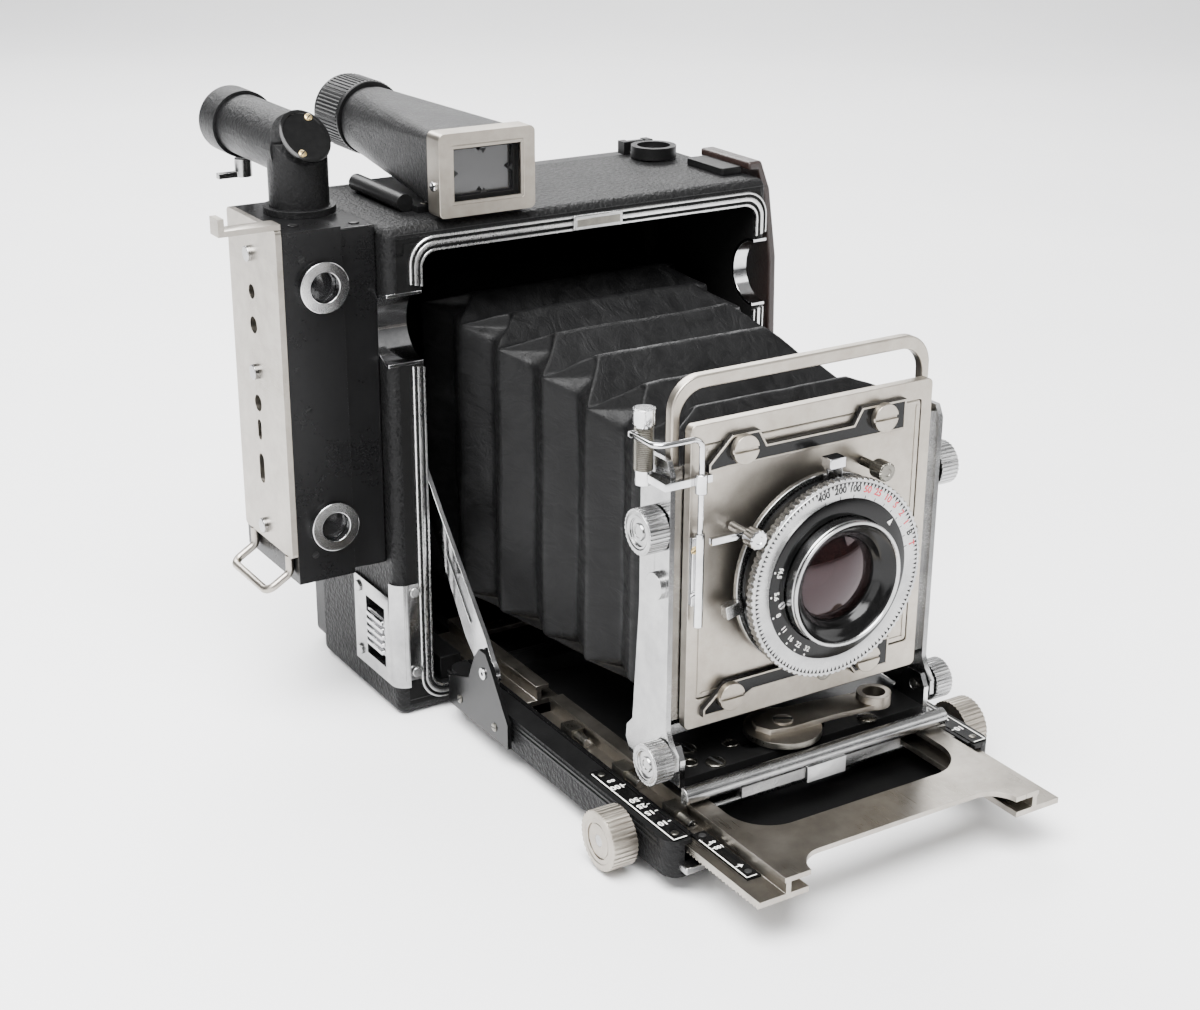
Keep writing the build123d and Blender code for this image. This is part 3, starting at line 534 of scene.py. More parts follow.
# ================================================================ bellows
# T: top and bottom panels stand out, sides fold in.  S: sides stand out into pointed ears, top folds in.
TS = [  # y, kind, half width of the flat / ear, z top, side valley x, side valley z top, z bottom
    (-91.6, "E", 33.0, 102.4, 0, 0, 31.6),
    (-86.0, "S", 32.6, 98.6, 0, 0, 34.0),
    (-80.5, "T", 22.5, 103.2, 28.6, 90.5, 23.5),
    (-71.0, "S", 33.7, 94.0, 0, 0, 30.6),
    (-61.5, "T", 23.5, 103.9, 29.8, 93.0, 22.6),
    (-52.0, "S", 34.9, 96.0, 0, 0, 29.2),
    (-42.0, "T", 25.0, 105.7, 31.0, 96.3, 21.8),
    (-33.6, "S", 36.4, 98.9, 0, 0, 28.6),
    (-23.6, "T", 26.5, 107.1, 32.5, 98.8, 21.0),
    (-13.8, "S", 38.0, 101.3, 0, 0, 28.2),
    (-5.0, "T", 28.0, 108.2, 34.2, 101.0, 20.4),
    (4.6, "S", 39.6, 103.4, 0, 0, 27.6),
    (13.6, "T", 29.5, 109.2, 35.8, 103.0, 20.0),
    (23.0, "S", 40.8, 105.2, 0, 0, 27.0),
    (32.0, "T", 31.0, 110.0, 37.2, 104.6, 19.6),
    (40.0, "S", 42.0, 106.8, 0, 0, 26.0),
    (45.8, "E", 44.0, 113.0, 0, 0, 22.0),
]
NT, NC, NSD = 26, 5, 40


def section(y, kind, w, zt, xs, zs, zb):
    """closed ring in the XZ plane, starting at the top centre line, going to +x"""
    if kind == "T":
        hh = zt - zs
        q = [(w, zt), (w + (xs - w) * 0.12, zs + hh * 0.36), (xs, zs)]
        zbs = zb + 7.2
        qb = [(xs, zbs + 1.0), (w + (xs - w) * 0.15, zbs - 2.2), (w, zb)]
    else:
        q = [(w, zt)] * 3
        qb = [(w, zb)] * 3
    half = [(q[0][0] * i / NT, q[0][1]) for i in range(NT)]
    for a, b_ in ((q[0], q[1]), (q[1], q[2])):
        half += [(a[0] + (b_[0] - a[0]) * i / NC, a[1] + (b_[1] - a[1]) * i / NC) for i in range(NC)]
    a, b_ = q[2], qb[0]
    half += [(a[0], a[1] + (b_[1] - a[1]) * i / NSD) for i in range(NSD)]
    for a, b_ in ((qb[0], qb[1]), (qb[1], qb[2])):
        half += [(a[0] + (b_[0] - a[0]) * i / NC, a[1] + (b_[1] - a[1]) * i / NC) for i in range(NC)]
    half += [(qb[2][0] * (1 - i / NT), qb[2][1]) for i in range(NT + 1)]
    left = [(-x, z) for x, z in reversed(half[1:-1])]
    return [(x, y, z) for x, z in half + left]


SUB = 9
rings = []
for i in range(len(TS) - 1):
    a, b_ = section(*TS[i]), section(*TS[i + 1])
    for k in range(SUB):
        t = k / SUB
        rings.append([tuple(a[j][c] + (b_[j][c] - a[j][c]) * t for c in range(3)) for j in range(len(a))])
rings.append(section(*TS[-1]))
R = [[Vector(p) for p in r] for r in rings]
NRG, NP = len(R), len(R[0])
for _ in range(2):  # the cloth folds have a small radius
    S2 = []
    for i in range(NRG):
        row = []
        for j in range(NP):
            p = R[i][j]
            if i in (0, NRG - 1):
                row.append(p.copy())
                continue
            av = (R[i - 1][j] + R[i + 1][j] + R[i][j - 1] + R[i][(j + 1) % NP]) / 4
            row.append(p.lerp(av, 0.42))
        S2.append(row)
    R = S2
for i in range(NRG):
    for j in range(NP):
        p = R[i][j]
        edge = min(i, NRG - 1 - i, 6) / 6.0
        n1 = noise.noise(Vector((p.x * 0.055, p.y * 0.13, p.z * 0.05))) * 0.55
        n2 = noise.noise(Vector((p.x * 0.21 + 9, p.y * 0.33, p.z * 0.16 + 4))) * 0.22
        c = Vector((p.x, 0, p.z - 64.0))
        c.normalize()
        R[i][j] = p + c * (n1 + n2) * edge
me = bpy.data.meshes.new("bellows_all")
me.from_pydata([V(*p) for r in R for p in r], [], [(i * NP + j, i * NP + (j + 1) % NP, (i + 1) * NP + (j + 1) % NP, (i + 1) * NP + j) for i in range(NRG - 1) for j in range(NP)])
me.update()
bm = bmesh.new()
bm.from_mesh(me)
fixn(bm)
bm.to_mesh(me)
bm.free()
me.update()
flip = 1.0
NRM = [v.normal.copy() for v in me.vertices]
if NRM[(NRG // 2) * NP].z < 0:
    NRM = [-n for n in NRM]
ring_y_ = [sum(p.y for p in r) / NP for r in R]


def ring_at(y):
    return min(range(NRG), key=lambda i: abs(ring_y_[i] - y))


def bellows_piece(name, y0, y1):
    i0, i1 = ring_at(y0), ring_at(y1)
    vs = [V(*R[i][j]) for i in range(i0, i1 + 1) for j in range(NP)]
    fs = [(a * NP + j, (a + 1) * NP + j, (a + 1) * NP + (j + 1) % NP, a * NP + (j + 1) % NP) for a in range(i1 - i0) for j in range(NP)]
    m = bpy.data.meshes.new(name)
    m.from_pydata(vs, [], fs)
    m.update()
    if m.polygons[len(m.polygons) // 2 // NP * NP + 3].normal.dot(NRM[((i0 + i1) // 2) * NP + 3]) < 0:
        m.flip_normals()
    for p in m.polygons:
        p.use_smooth = True
    m.normals_split_custom_set_from_vertices([NRM[i * NP + j] for i in range(i0, i1 + 1) for j in range(NP)])
    m.materials.append(M["cloth"])
    o = bpy.data.objects.new(name, m)
    bpy.context.scene.collection.objects.link(o)
    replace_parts(o, "bellows_rear", "bellows_front")
    return o, ring_y_[i0], ring_y_[i1]


CUT = [-91.6, -77.0, -69.5, -62.0, -38.0, -5.0, 45.8]
b_rise, y0, y1 = bellows_piece("bellows_rise", CUT[0], CUT[1])
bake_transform(b_rise)
b_tilt, y0, y1 = bellows_piece("bellows_tilt", CUT[1], CUT[2])
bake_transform(b_tilt)
b_shift, y0, y1 = bellows_piece("bellows_shift", CUT[2], CUT[3])
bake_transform(b_shift)
b_slide, y0, y1 = bellows_piece("bellows_slide", CUT[3], CUT[4])
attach(b_slide, "rails")
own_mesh(b_slide)
b_focus, y0, y1 = bellows_piece("bellows_focus", CUT[4], CUT[5])
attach(b_focus, "bed")
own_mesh(b_focus)
b_body, y0, y1 = bellows_piece("bellows_body", CUT[5], CUT[6])
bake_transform(b_body)

# ================================================================ CAD pieces with softened edges
def in_cav(c):
    return abs(c.x) < 52.3 and 3.4 < c.z < 126.0


dress("body_shell", ["leather", "matte", "satin"], lambda c, n, lo, hi: 1 if in_cav(c) else 0, 0.5, 3)
dress("tripod_socket", "satin_chrome", None, 0.2)
dress("front_trim", ["satin_chrome", "chrome"], lambda c, n, lo, hi: 1 if hi.z < 118 and lo.z > 90 else 0, 0.12, 2, drop=lambda lo, hi: hi.y < 0.5)
dress("release_plate", "satin_chrome", None, 0.25)
dress("release_slider", "chrome", None, 0.18)
dress("body_fasteners", ["satin_chrome", "satin"], lambda c, n, lo, hi: 1 if lo.x > 40 else 0, 0.2)
dress("body_guides", "satin", None, 0.2)
dress("bellows_rear_frame", "matte", None, 0.2)
dress("back_frame", "satin", None, 0.4)
dress("focusing_panel", "satin", None, 0.35)
dress("ground_glass", "ground", None, 0.1)
dress("leaf_springs", "darksteel", None, 0.2)
dress("hood_door", ["leather", "satin"], lambda c, n, lo, hi: 0 if n.y > 0.8 and 15 < c.z else 1, 0.4)
dress("rangefinder_base", "housing", None, 0.6, 3)
dress("rangefinder_cover", "housing", None, 0.9, 3)
dress("rangefinder_optics", ["chrome", "darkglass", "mirror"], lambda c, n, lo, hi: 0 if lo.y < 2 else (1 if hi.y < 6 else 2), 0.2, 3)
dress("flash_bracket", "nickel_l", None, 0.25)
dress("focus_light_body", "crinkle", None, 0.35, 3)
dress("focus_light_switch", "satin_chrome", None, 0.3)
dress("viewfinder_housing", "crinkle", None, 0.5, 3)
dress("viewfinder_frame", "nickel", None, 0.35, 3)
dress("viewfinder_optics", ["satin", "darkglass"], lambda c, n, lo, hi: 0 if hi.y < 2.1 else 1, 0.12)
dress("viewfinder_eyepiece", "satin", None, 0.3)
dress("finder_mounts", "satin", None, 0.3)
dress("peep_sight", "satin", None, 0.3)
dress("hand_strap", "strap", None, 0.7, 3)
dress("bed_hinge_pin", "darksteel", None, 0.15)
dress("inner_rails", "nickel_l", None, 0.12)


def pick_bed(c, n, lo, hi):
    if n.z < -0.5 and c.z < 2:
        return 0
    if abs(n.z) < 0.6 and (abs(c.x) > 48.0 or c.y < -112.0) and c.z < 9:
        return 0
    return 1


dress("bed_plate", ["leather", "satin"], pick_bed, 0.4, 3)
dress("bed_strips", ["enamel", "satin"], None, 0.1)
dress("brace_brackets", "enamel", None, 0.2)
dress("braces", "chrome", None, 0.15)
dress("focus_rails", "nickel_l", None, 0.12)
dress("rail_stops", ["enamel", "darksteel"], lambda c, n, lo, hi: 0 if hi.z < 10.5 else (1), 0.15)
dress("focus_shaft", "satin_chrome", None, 0.1)
dress("focus_knobs", "nickel", None, 0.14)
dress("carriage_base", ["satin", "satin_chrome"], lambda c, n, lo, hi: 1 if lo.y < -103.5 else 0, 0.15, 3)
dress("shift_block", ["satin", "chrome"], lambda c, n, lo, hi: 1 if abs(c.x) > 36.4 and c.z > 18 else 0, 0.2)
dress("lock_lever", ["nickel", "darksteel"], lambda c, n, lo, hi: 1 if c.z < 20.05 else 0, 0.25, 3)
dress("standard_frame", "satin_chrome", None, 0.2)
dress("tilt_knobs", "satin_chrome", None, 0.12)
dress("rise_knobs", "satin_chrome", None, 0.12)
dress("lens_panel", "nickel", None, 0.5, 4)
dress("lens_board", "nickel", None, 0.2, 3)
dress("bellows_front_frame", "satin", None, 0.2)
dress("finder_bail", "nickel", None, 0.4, 3)
dress("release_linkage", "chrome", None, 0.12)
dress("speed_ring", "satin_chrome", None, 0.1)
dress("aperture_lever", "satin_chrome", None, 0.15)
dress("cocking_lever", "chrome", None, 0.2)
dress("trip_lever", "chrome", None, 0.2)
dress("shutter_posts", "darksteel", None, 0.2)
dress("iris_blades", "satin", None, 0.0)
dress("rear_cell", "satin", None, 0.2)
dress("shutter_body", ["satin", "enamel"], lambda c, n, lo, hi: 1 if lo.y < -107 else 0, 0.2)
dress("lens_glass", "lens", None, 0.0)
dress("board_clips", ["enamel", "nickel"], lambda c, n, lo, hi: 1 if lo.y < -99.0 else 0, 0.12)
# ================================================================ details
# ---- striped band round the front opening
def band_profile():
    # (share of the width from the outer edge, height above the body face, material)
    return [(0.0, 0.0, 0), (0.0, 0.85, 0), (0.05, 1.05, 0), (0.13, 1.05, 0), (0.16, 0.85, 1), (0.17, 0.4, 1), (0.31, 0.4, 1), (0.32, 0.9, 0), (0.36, 1.12, 0), (0.48, 1.18, 0), (0.60, 1.12, 0), (0.64, 0.9, 1), (0.65, 0.4, 1), (0.79, 0.4, 1), (0.80, 0.85, 0), (0.84, 1.05, 0), (0.95, 1.05, 0), (1.0, 0.85, 0), (1.0, 0.0, 0)]


outer = rr_pts(-55.6, 55.6, 0.0, 129.7, 7.0, 10)
inner = rr_pts(-52.0, 52.0, 3.7, 125.7, 4.0, 10)


def densify(pts, step):
    out = []
    for i in range(len(pts)):
        a, b_ = pts[i], pts[(i + 1) % len(pts)]
        n = max(1, int(math.hypot(b_[0] - a[0], b_[1] - a[1]) / step))
        out += [(i, k / n) for k in range(n)]
    return out


bm = bmesh.new()
path = densify(outer, 2.4)
pr = band_profile()
cols, keepc = [], []
for i, t in path:
    o2 = [outer[i][c] + (outer[(i + 1) % len(outer)][c] - outer[i][c]) * t for c in (0, 1)]
    i2 = [inner[i][c] + (inner[(i + 1) % len(inner)][c] - inner[i][c]) * t for c in (0, 1)]
    hit = abs(o2[0]) > 50 and abs(o2[1] - 106.1) < 9.6
    keepc.append(not hit)
    cols.append([bm.verts.new(V(o2[0] + (i2[0] - o2[0]) * s, -h, o2[1] + (i2[1] - o2[1]) * s)) for s, h, _ in pr])
for i in range(len(cols)):
    j = (i + 1) % len(cols)
    if keepc[i] and keepc[j]:
        for k in range(len(pr) - 1):
            bm.faces.new((cols[i][k], cols[j][k], cols[j][k + 1], cols[i][k + 1])).material_index = pr[k][2] if pr[k][2] == pr[k + 1][2] else 1
for i in range(len(cols)):
    j = (i + 1) % len(cols)
    if keepc[i] != keepc[j]:
        bm.faces.new(cols[i] if keepc[i] else cols[j])
bmesh.ops.delete(bm, geom=[v for v in bm.verts if not v.link_faces], context="VERTS")
fixn(bm)
from_bm(bm, "front_band", ["trim", "ink"], "root", 40)
bm = bmesh.new()
bm_box(bm, -7.8, 7.3, -2.0, -1.15, 125.9, 129.9)
from_bm(bm, "name_tab", "satin_chrome", "root", 30, 0.3, 3)
bm = bmesh.new()
bm_box(bm, -6.9, 6.4, -2.06, -1.9, 126.9, 128.9)
from_bm(bm, "name_tab_field", "darksteel", "root", 30, 0.05, 1)

# ---- scales beside the rails, numerals read from behind the camera
for s in (-1, 1):
    bm = bmesh.new()
    bm_box(bm, s * 47.66, s * 47.36, -112.1, -76.0, 10.9, 10.96)
    bm_box(bm, s * 47.5, s * 43.9, -112.2, -111.9, 10.9, 10.96)
    from_bm(bm, "scale_line_%d" % (s + 1), "white", "bed", 0)
    for y, txt in ((-84.5, "100"), (-92.0, "50"), (-95.2, "25"), (-98.8, "15"), (-104.4, "10")):
        label(txt, 2.5, (s * 45.5, y, 10.92), (-1, 0, 0), (0, -1, 0), "white", "bed", "scale_%d_%s" % (s + 1, txt), 0.03, 0.06)
        bm = bmesh.new()
        bm_box(bm, s * 44.0, s * 43.2, y - 0.13, y + 0.13, 10.9, 10.96)
        from_bm(bm, "scale_tick_%d_%s" % (s + 1, txt), "white", "bed", 0)
    eight(0.85, (s * 45.3, -81.3, 10.92), (-1, 0, 0), (0, -1, 0), "white", "bed", "scale_inf_%d" % (s + 1), 0.16)
    for y in (-77.4, -109.6):
        screw("scale_screw_%d_%d" % (s + 1, int(-y)), (s * 45.6, y, 10.88), (0, 0, 1), 0.95, 0.28, "darksteel", "bed", 30)
    # rail strip
    bm = bmesh.new()
    bm_box(bm, s * 41.5, s * 41.22, -132.4, -113.5, 9.69, 9.76)
    bm_box(bm, s * 41.4, s * 38.6, -132.5, -132.25, 9.69, 9.76)
    bm_box(bm, s * 40.9, s * 39.7, -127.6, -127.35, 9.69, 9.76)
    bm_box(bm, s * 41.0, s * 40.2, -116.6, -116.35, 9.69, 9.76)
    bm_box(bm, s * 41.0, s * 40.2, -118.4, -118.15, 9.69, 9.76)
    from_bm(bm, "rail_line_%d" % (s + 1), "white", "rails", 0)
    label("100", 1.7, (s * 39.2, -118.3, 9.72), (-1, 0, 0), (0, -1, 0), "white", "rails", "rail_num_%d" % (s + 1), 0.03, 0.04)
    eight(0.7, (s * 39.3, -115.9, 9.72), (-1, 0, 0), (0, -1, 0), "white", "rails", "rail_inf_%d" % (s + 1), 0.13)
    bm = bmesh.new()
    tri = [V(s * 39.9, -128.3, 9.74), V(s * 39.9, -126.7, 9.74), V(s * 38.9, -127.5, 9.74)]
    bm.faces.new([bm.verts.new(p) for p in tri])
    from_bm(bm, "rail_arrow_%d" % (s + 1), "white", "rails", 0)
    for y in (-112.2, -130.4):
        screw("rail_screw_%d_%d" % (s + 1, int(-y)), (s * 39.6, y, 9.68), (0, 0, 1), 0.9, 0.3, "ink", "rails", 60)
    # sockets in the set screws, ribs along the bed's edge, rivet on the bracket
    for y in (-54.0, -78.5, -101.0):
        bm = bmesh.new()
        bm_lathe(bm, [(0.001, -7.62 + y), (0.55, -7.62 + y), (0.62, -7.66 + y), (1.28, -7.66 + y), (1.32, -7.5 + y)], s * 39.8, 10.6, 20)
        fixn(bm)
        from_bm(bm, "set_screw_%d_%d" % (s + 1, int(-y)), "chrome", "rails", 30)
    bm = bmesh.new()
    for z0, z1 in ((7.6, 8.3), (8.9, 9.6)):
        bm_box(bm, s * 49.1, s * 49.5, -108.0, -42.0, z0, z1)
        bm_box(bm, s * 49.1, s * 49.5, -9.5, -4.0, z0, z1)
    from_bm(bm, "bed_rib_%d" % (s + 1), "satin", "bed", 30, 0.15, 2)
    screw("brace_rivet_%d" % (s + 1), (s * 51.4, -28.3, 19.1), (s, 0, 0), 1.55, 0.5, "chrome", "bed", 0, slot_w=0.001)
    screw("bracket_screw_%d" % (s + 1), (s * 51.45, -15.0, 6.0), (s, 0, 0), 1.2, 0.45, "darksteel", "bed", 40)
    screw("bracket_screw_b_%d" % (s + 1), (s * 51.45, -34.0, 6.0), (s, 0, 0), 1.2, 0.45, "darksteel", "bed", 10)
bm = bmesh.new()
bm_box(bm, -46.6, -41.2, -116.2, -112.6, 3.2, 4.9)
from_bm(bm, "bed_catch", "satin_chrome", "bed", 30, 0.25, 2)

# ---- clips: raised nickel border round the black field
def inset(pts, d):
    n = len(pts)
    area2 = sum(pts[i][0] * pts[(i + 1) % n][1] - pts[(i + 1) % n][0] * pts[i][1] for i in range(n))
    sg = 1 if area2 > 0 else -1
    out = []
    for i in range(n):
        p0, p1, p2 = Vector(pts[i - 1]), Vector(pts[i]), Vector(pts[(i + 1) % n])
        d1, d2 = (p1 - p0).normalized(), (p2 - p1).normalized()
        n1, n2 = Vector((-d1.y, d1.x)) * sg, Vector((-d2.y, d2.x)) * sg
        m_ = n1 + n2
        m_ = m_ / max(0.35, m_.dot(n1))
        out.append(tuple(p1 + m_ * d))
    return out


def border(name, pts, y, h, w_, mat, body):
    a, b_ = inset(pts, 0.12), inset(pts, w_)
    bm = bmesh.new()
    rows = [[V(p[0], yy, p[1]) for p in q] for q, yy in ((a, y), (a, y - h), (b_, y - h), (b_, y))]
    n = len(pts)
    vr = [[bm.verts.new(p) for p in r] for r in rows]
    for i in range(3):
        for j in range(n):
            k = (j + 1) % n
            bm.faces.new((vr[i][j], vr[i][k], vr[i + 1][k], vr[i + 1][j]))
    fixn(bm)
    return from_bm(bm, name, mat, body, 30, 0.06, 2)


CT = [(-31.0, 93.6), (-25.4, 94.0), (26.0, 94.0), (26.0, 101.7), (12.6, 101.7), (10.3, 97.8), (-14.8, 97.8), (-17.0, 101.7), (-24.6, 101.7), (-31.0, 95.6)]
CB = [(-30.8, 32.0), (-24.0, 32.0), (-16.5, 35.6), (12.0, 35.6), (14.6, 32.0), (25.1, 32.0), (25.1, 39.7), (-24.0, 39.7), (-30.8, 34.0)]
border("clip_border_top", CT, -98.58, 0.16, 0.62, "nickel", "lens_panel")
border("clip_border_low", CB, -98.58, 0.16, 0.62, "nickel", "lens_panel")
# raised rim of the lens board
border("board_rim", rr_pts(-31.7, 31.7, 36.6, 99.9, 1.2, 5), -96.95, 0.22, 1.3, "nickel", "lens_panel")

# ---- shutter: silver numeral ring, black face, numerals
CZ = 64.4
bm = bmesh.new()
bm_lathe(bm, [(24.05, -108.0), (23.85, -108.32), (19.6, -108.32), (19.2, -108.1)], 0, CZ, 128)
fixn(bm)
from_bm(bm, "speed_ring_face", "satin_chrome", "speed_ring", 30)
bm = bmesh.new()
bm_lathe(bm, [(19.0, -107.6), (19.0, -108.36), (19.95, -108.38), (19.8, -108.46), (15.9, -108.46), (15.7, -108.2), (15.6, -107.6)], 0, CZ, 128)
fixn(bm)
from_bm(bm, "shutter_face", "enamel", "lens_panel", 30)


def polar(text, ang, r, y, size, mat, body, name, bold=0.05):
    t = math.radians(ang)
    out_ = (math.cos(t), 0, math.sin(t))
    tang = (math.sin(t), 0, -math.cos(t))
    # seen from the front (+x to the right), tops point outward
    return label(text, size, (r * math.cos(t), y, CZ + r * math.sin(t)), tang, out_, mat, body, name, 0.03, bold)


def tick(ang, r0, r1, y, w_, mat, body, name):
    t = math.radians(ang)
    o_ = Vector((math.cos(t), 0, math.sin(t)))
    g = Vector((-math.sin(t), 0, math.cos(t))) * w_ / 2
    bm = bmesh.new()
    c = Vector((0, 0, CZ))
    q = [c + o_ * r0 - g, c + o_ * r1 - g, c + o_ * r1 + g, c + o_ * r0 + g]
    bm.faces.new([bm.verts.new(V(p.x, y, p.z)) for p in q])
    return from_bm(bm, name, mat, body, 0)


for txt, ang, mt in (("400", 104, "ink"), ("200", 91.5, "ink"), ("100", 80.5, "ink"), ("50", 70.5, "red"), ("25", 61.5, "red"), ("10", 52, "red"), ("5", 43.5, "red"), ("2", 35.5, "red"), ("1", 27.5, "red"), ("B", 19.5, "ink"), ("T", 11.5, "red")):
    polar(txt, ang, 22.2, -108.34, 2.3, mt, "speed_ring", "speed_" + txt)
    tick(ang, 20.05, 20.75, -108.34, 0.2, "ink", "speed_ring", "speed_tick_" + txt)
for txt, ang in (("f4.5", 163), ("5.6", 181), ("8", 197), ("11", 211), ("16", 222), ("22", 232), ("32", 242)):
    t = math.radians(ang)
    label(txt, 1.75, (18.0 * math.cos(t), -108.48, CZ + 18.0 * math.sin(t)), (-math.sin(t), 0, math.cos(t)) if ang < 200 else (-math.sin(t), 0, math.cos(t)), (-math.cos(t), 0, -math.sin(t)), "white", "lens_panel", "stop_" + txt.replace(".", "_"), 0.03, 0.03)
    tick(ang, 19.25, 19.7, -108.48, 0.45, "white", "lens_panel", "stop_dot_" + txt.replace(".", "_"))
bm = bmesh.new()
for ang in (38.0,):
    t = math.radians(ang)
    o_ = Vector((math.cos(t), 0, math.sin(t)))
    g = Vector((-math.sin(t), 0, math.cos(t)))
    c = Vector((0, 0, CZ))
    bm.faces.new([bm.verts.new(V(p.x, -108.49, p.z)) for p in (c + o_ * 19.7, c + o_ * 17.9 + g * 0.7, c + o_ * 17.9 - g * 0.7)])
from_bm(bm, "speed_index", "white", "lens_panel", 0)
for ang in (168 + 22, 318):
    t = math.radians(ang)
    screw("face_screw_%d" % ang, (16.6 * math.cos(t) + 0.0, -108.4, CZ + 16.6 * math.sin(t)), (0, -1, 0), 0.95, 0.25, "chrome", "lens_panel", 30)

# serrations round the ring's rim as flat dark triangles: painted shade of the notches
bm = bmesh.new()
for i in range(126):
    t = 2 * math.pi * i / 126
    o_ = Vector((math.cos(t), 0, math.sin(t)))
    g = Vector((-math.sin(t), 0, math.cos(t)))
    c = Vector((0, 0, CZ))
    bm.faces.new([bm.verts.new(V(p.x, -108.335, p.z)) for p in (c + o_ * 22.72 + g * 0.0, c + o_ * 23.84 - g * 0.40, c + o_ * 23.84 + g * 0.40)])
from_bm(bm, "speed_ring_notch_shade", "ink", "speed_ring", 0)

# ---- lens cell: bright rim, knurled skirt and black inner cone (the coated glass is dressed with the CAD pieces above)
n_ = 120
bm = bmesh.new()
prof = [(15.2, -105.9, 0), (15.2, -108.3, 0), (15.3, -108.45, 0), (15.5, -108.55, 0), (15.5, -111.0, 0), (15.35, -111.15, 0), (15.3, -111.35, 0), (15.5, -111.55, 0), (15.55, -112.1, 0), (15.4, -112.32, 0), (15.1, -112.38, 0), (14.8, -112.3, 0), (14.6, -112.0, 1), (14.3, -111.5, 1), (13.4, -111.0, 1), (12.2, -110.4, 1), (11.6, -109.7, 1), (11.3, -109.0, 1), (10.9, -108.6, 1), (10.6, -108.2, 1)]
bm_lathe(bm, [(r, y) for r, y, _ in prof], 0, CZ, n_, "y", [m_ for _, _, m_ in prof])
fixn(bm)
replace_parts(from_bm(bm, "lens_cell_front", ["satin_chrome", "enamel"], "lens_panel", 40), "lens_cell")
bm = bmesh.new()
for i in range(132):
    t = 2 * math.pi * i / 132
    c_, s_ = math.cos(t), math.sin(t)
    r0, r1, w_ = 15.36, 15.6, 0.24
    g = Vector((-s_, 0, c_)) * w_
    c = Vector((0, 0, CZ))
    o_ = Vector((c_, 0, s_))
    vs = []
    for y in (-111.6, -112.2):
        for p in (c + o_ * r0 - g, c + o_ * r1, c + o_ * r0 + g):
            vs.append(bm.verts.new(V(p.x, y, p.z)))
    bm.faces.new((vs[0], vs[1], vs[4], vs[3]))
    bm.faces.new((vs[1], vs[2], vs[5], vs[4]))
    bm.faces.new((vs[3], vs[4], vs[5]))
fixn(bm)
from_bm(bm, "lens_knurl", "satin_chrome", "lens_panel", 20)
# reflecting inner surfaces behind the front glass
bm = bmesh.new()
bm_lathe(bm, [(10.5, -108.3), (9.6, -106.2), (9.3, -104.6), (8.4, -104.4), (8.2, -102.4), (7.2, -102.2), (7.0, -100.2), (5.2, -99.6)], 0, CZ, 72)
fixn(bm)
from_bm(bm, "lens_barrel_inner", "enamel", "lens_panel", 30)

# ---- shutter side: a collar behind the numeral ring is lathed, then freed without being built
bm = bmesh.new()
bm_lathe(bm, [(23.0, -99.0), (23.3, -99.6), (23.3, -101.2), (23.05, -101.6)], 0, CZ, 128)
fixn(bm)

bm.free()
# posts: knurled heads
def knurl_y(name, x, z, r, y0, y1, mat, body, teeth=22):
    bm = bmesh.new()
    rows = []
    n = teeth * 4
    for y, k in ((y0, 1.0), (y0 - 0.25, 1.0), (y1 + 0.25, 1.0), (y1, 0.86)):
        rows.append([V(x + (r * k + (0.12 if i % 4 < 2 else -0.05)) * math.cos(2 * math.pi * i / n), y, z + (r * k + (0.12 if i % 4 < 2 else -0.05)) * math.sin(2 * math.pi * i / n)) for i in range(n)])
    rows.append([V(x + r * 0.45 * math.cos(2 * math.pi * i / n), y1, z + r * 0.45 * math.sin(2 * math.pi * i / n)) for i in range(n)])
    rows.append([V(x + r * 0.35 * math.cos(2 * math.pi * i / n), y1 + 0.3, z + r * 0.35 * math.sin(2 * math.pi * i / n)) for i in range(n)])
    grid_faces(bm, rows, True, True, True)
    fixn(bm)
    return from_bm(bm, name, mat, body, 30)


t = math.radians(58)
knurl_y("sync_post_head", 27.4 * math.cos(t), CZ + 27.4 * math.sin(t), 2.25, -102.8, -106.8, "darksteel", "lens_panel")
knurl_y("trip_button", -23.2, CZ + 14.6, 2.25, -104.8, -108.2, "chrome", "trip_lever", 12)

# ---- release linkage: hexagon nut, thread, sleeve, bracket
def hexnut(name, x, y, z0, z1, r, mat, body):
    bm = bmesh.new()
    rows = []
    for z, k in ((z0, 0.92), (z0 + 0.35, 1.0), (z1 - 0.35, 1.0), (z1, 0.9)):
        rows.append([V(x + r * k * math.cos(math.pi * i / 3), y + r * k * math.sin(math.pi * i / 3), z) for i in range(6)])
    grid_faces(bm, rows, True, True, True)
    fixn(bm)
    return from_bm(bm, name, mat, body, 30, 0.12, 2)


hexnut("release_nut", -42.6, -89.6, 105.2, 108.7, 2.75, "chrome", "release_linkage")
bm = bmesh.new()
prof = []
z = 94.0
while z < 104.0:
    prof += [(2.02, z), (2.3, z + 0.18), (2.02, z + 0.36)]
    z += 0.45
bm_lathe(bm, prof, -42.6, -89.6, 24, "z")
fixn(bm)
from_bm(bm, "release_thread", "darksteel", "release_linkage", 20)
bm = bmesh.new()
bm_box(bm, -35.4, -33.0, -99.4, -97.9, 62.0, 79.0)
from_bm(bm, "release_bracket", "chrome", "lens_panel", 30, 0.2, 2)
for z in (65.0, 76.0):
    screw("release_bracket_screw_%d" % int(z), (-34.9, -99.35, z), (0, -1, 0), 0.95, 0.35, "brass" if z > 70 else "chrome", "lens_panel", 25)
bm = bmesh.new()
bm_tube(bm, [V(-33.8, -99.9, 94.5), V(-33.8, -99.9, 89.8)], [1.45, 1.45], 20)
fixn(bm)
from_bm(bm, "release_sleeve", "chrome", "release_linkage", 30, 0.2, 2)

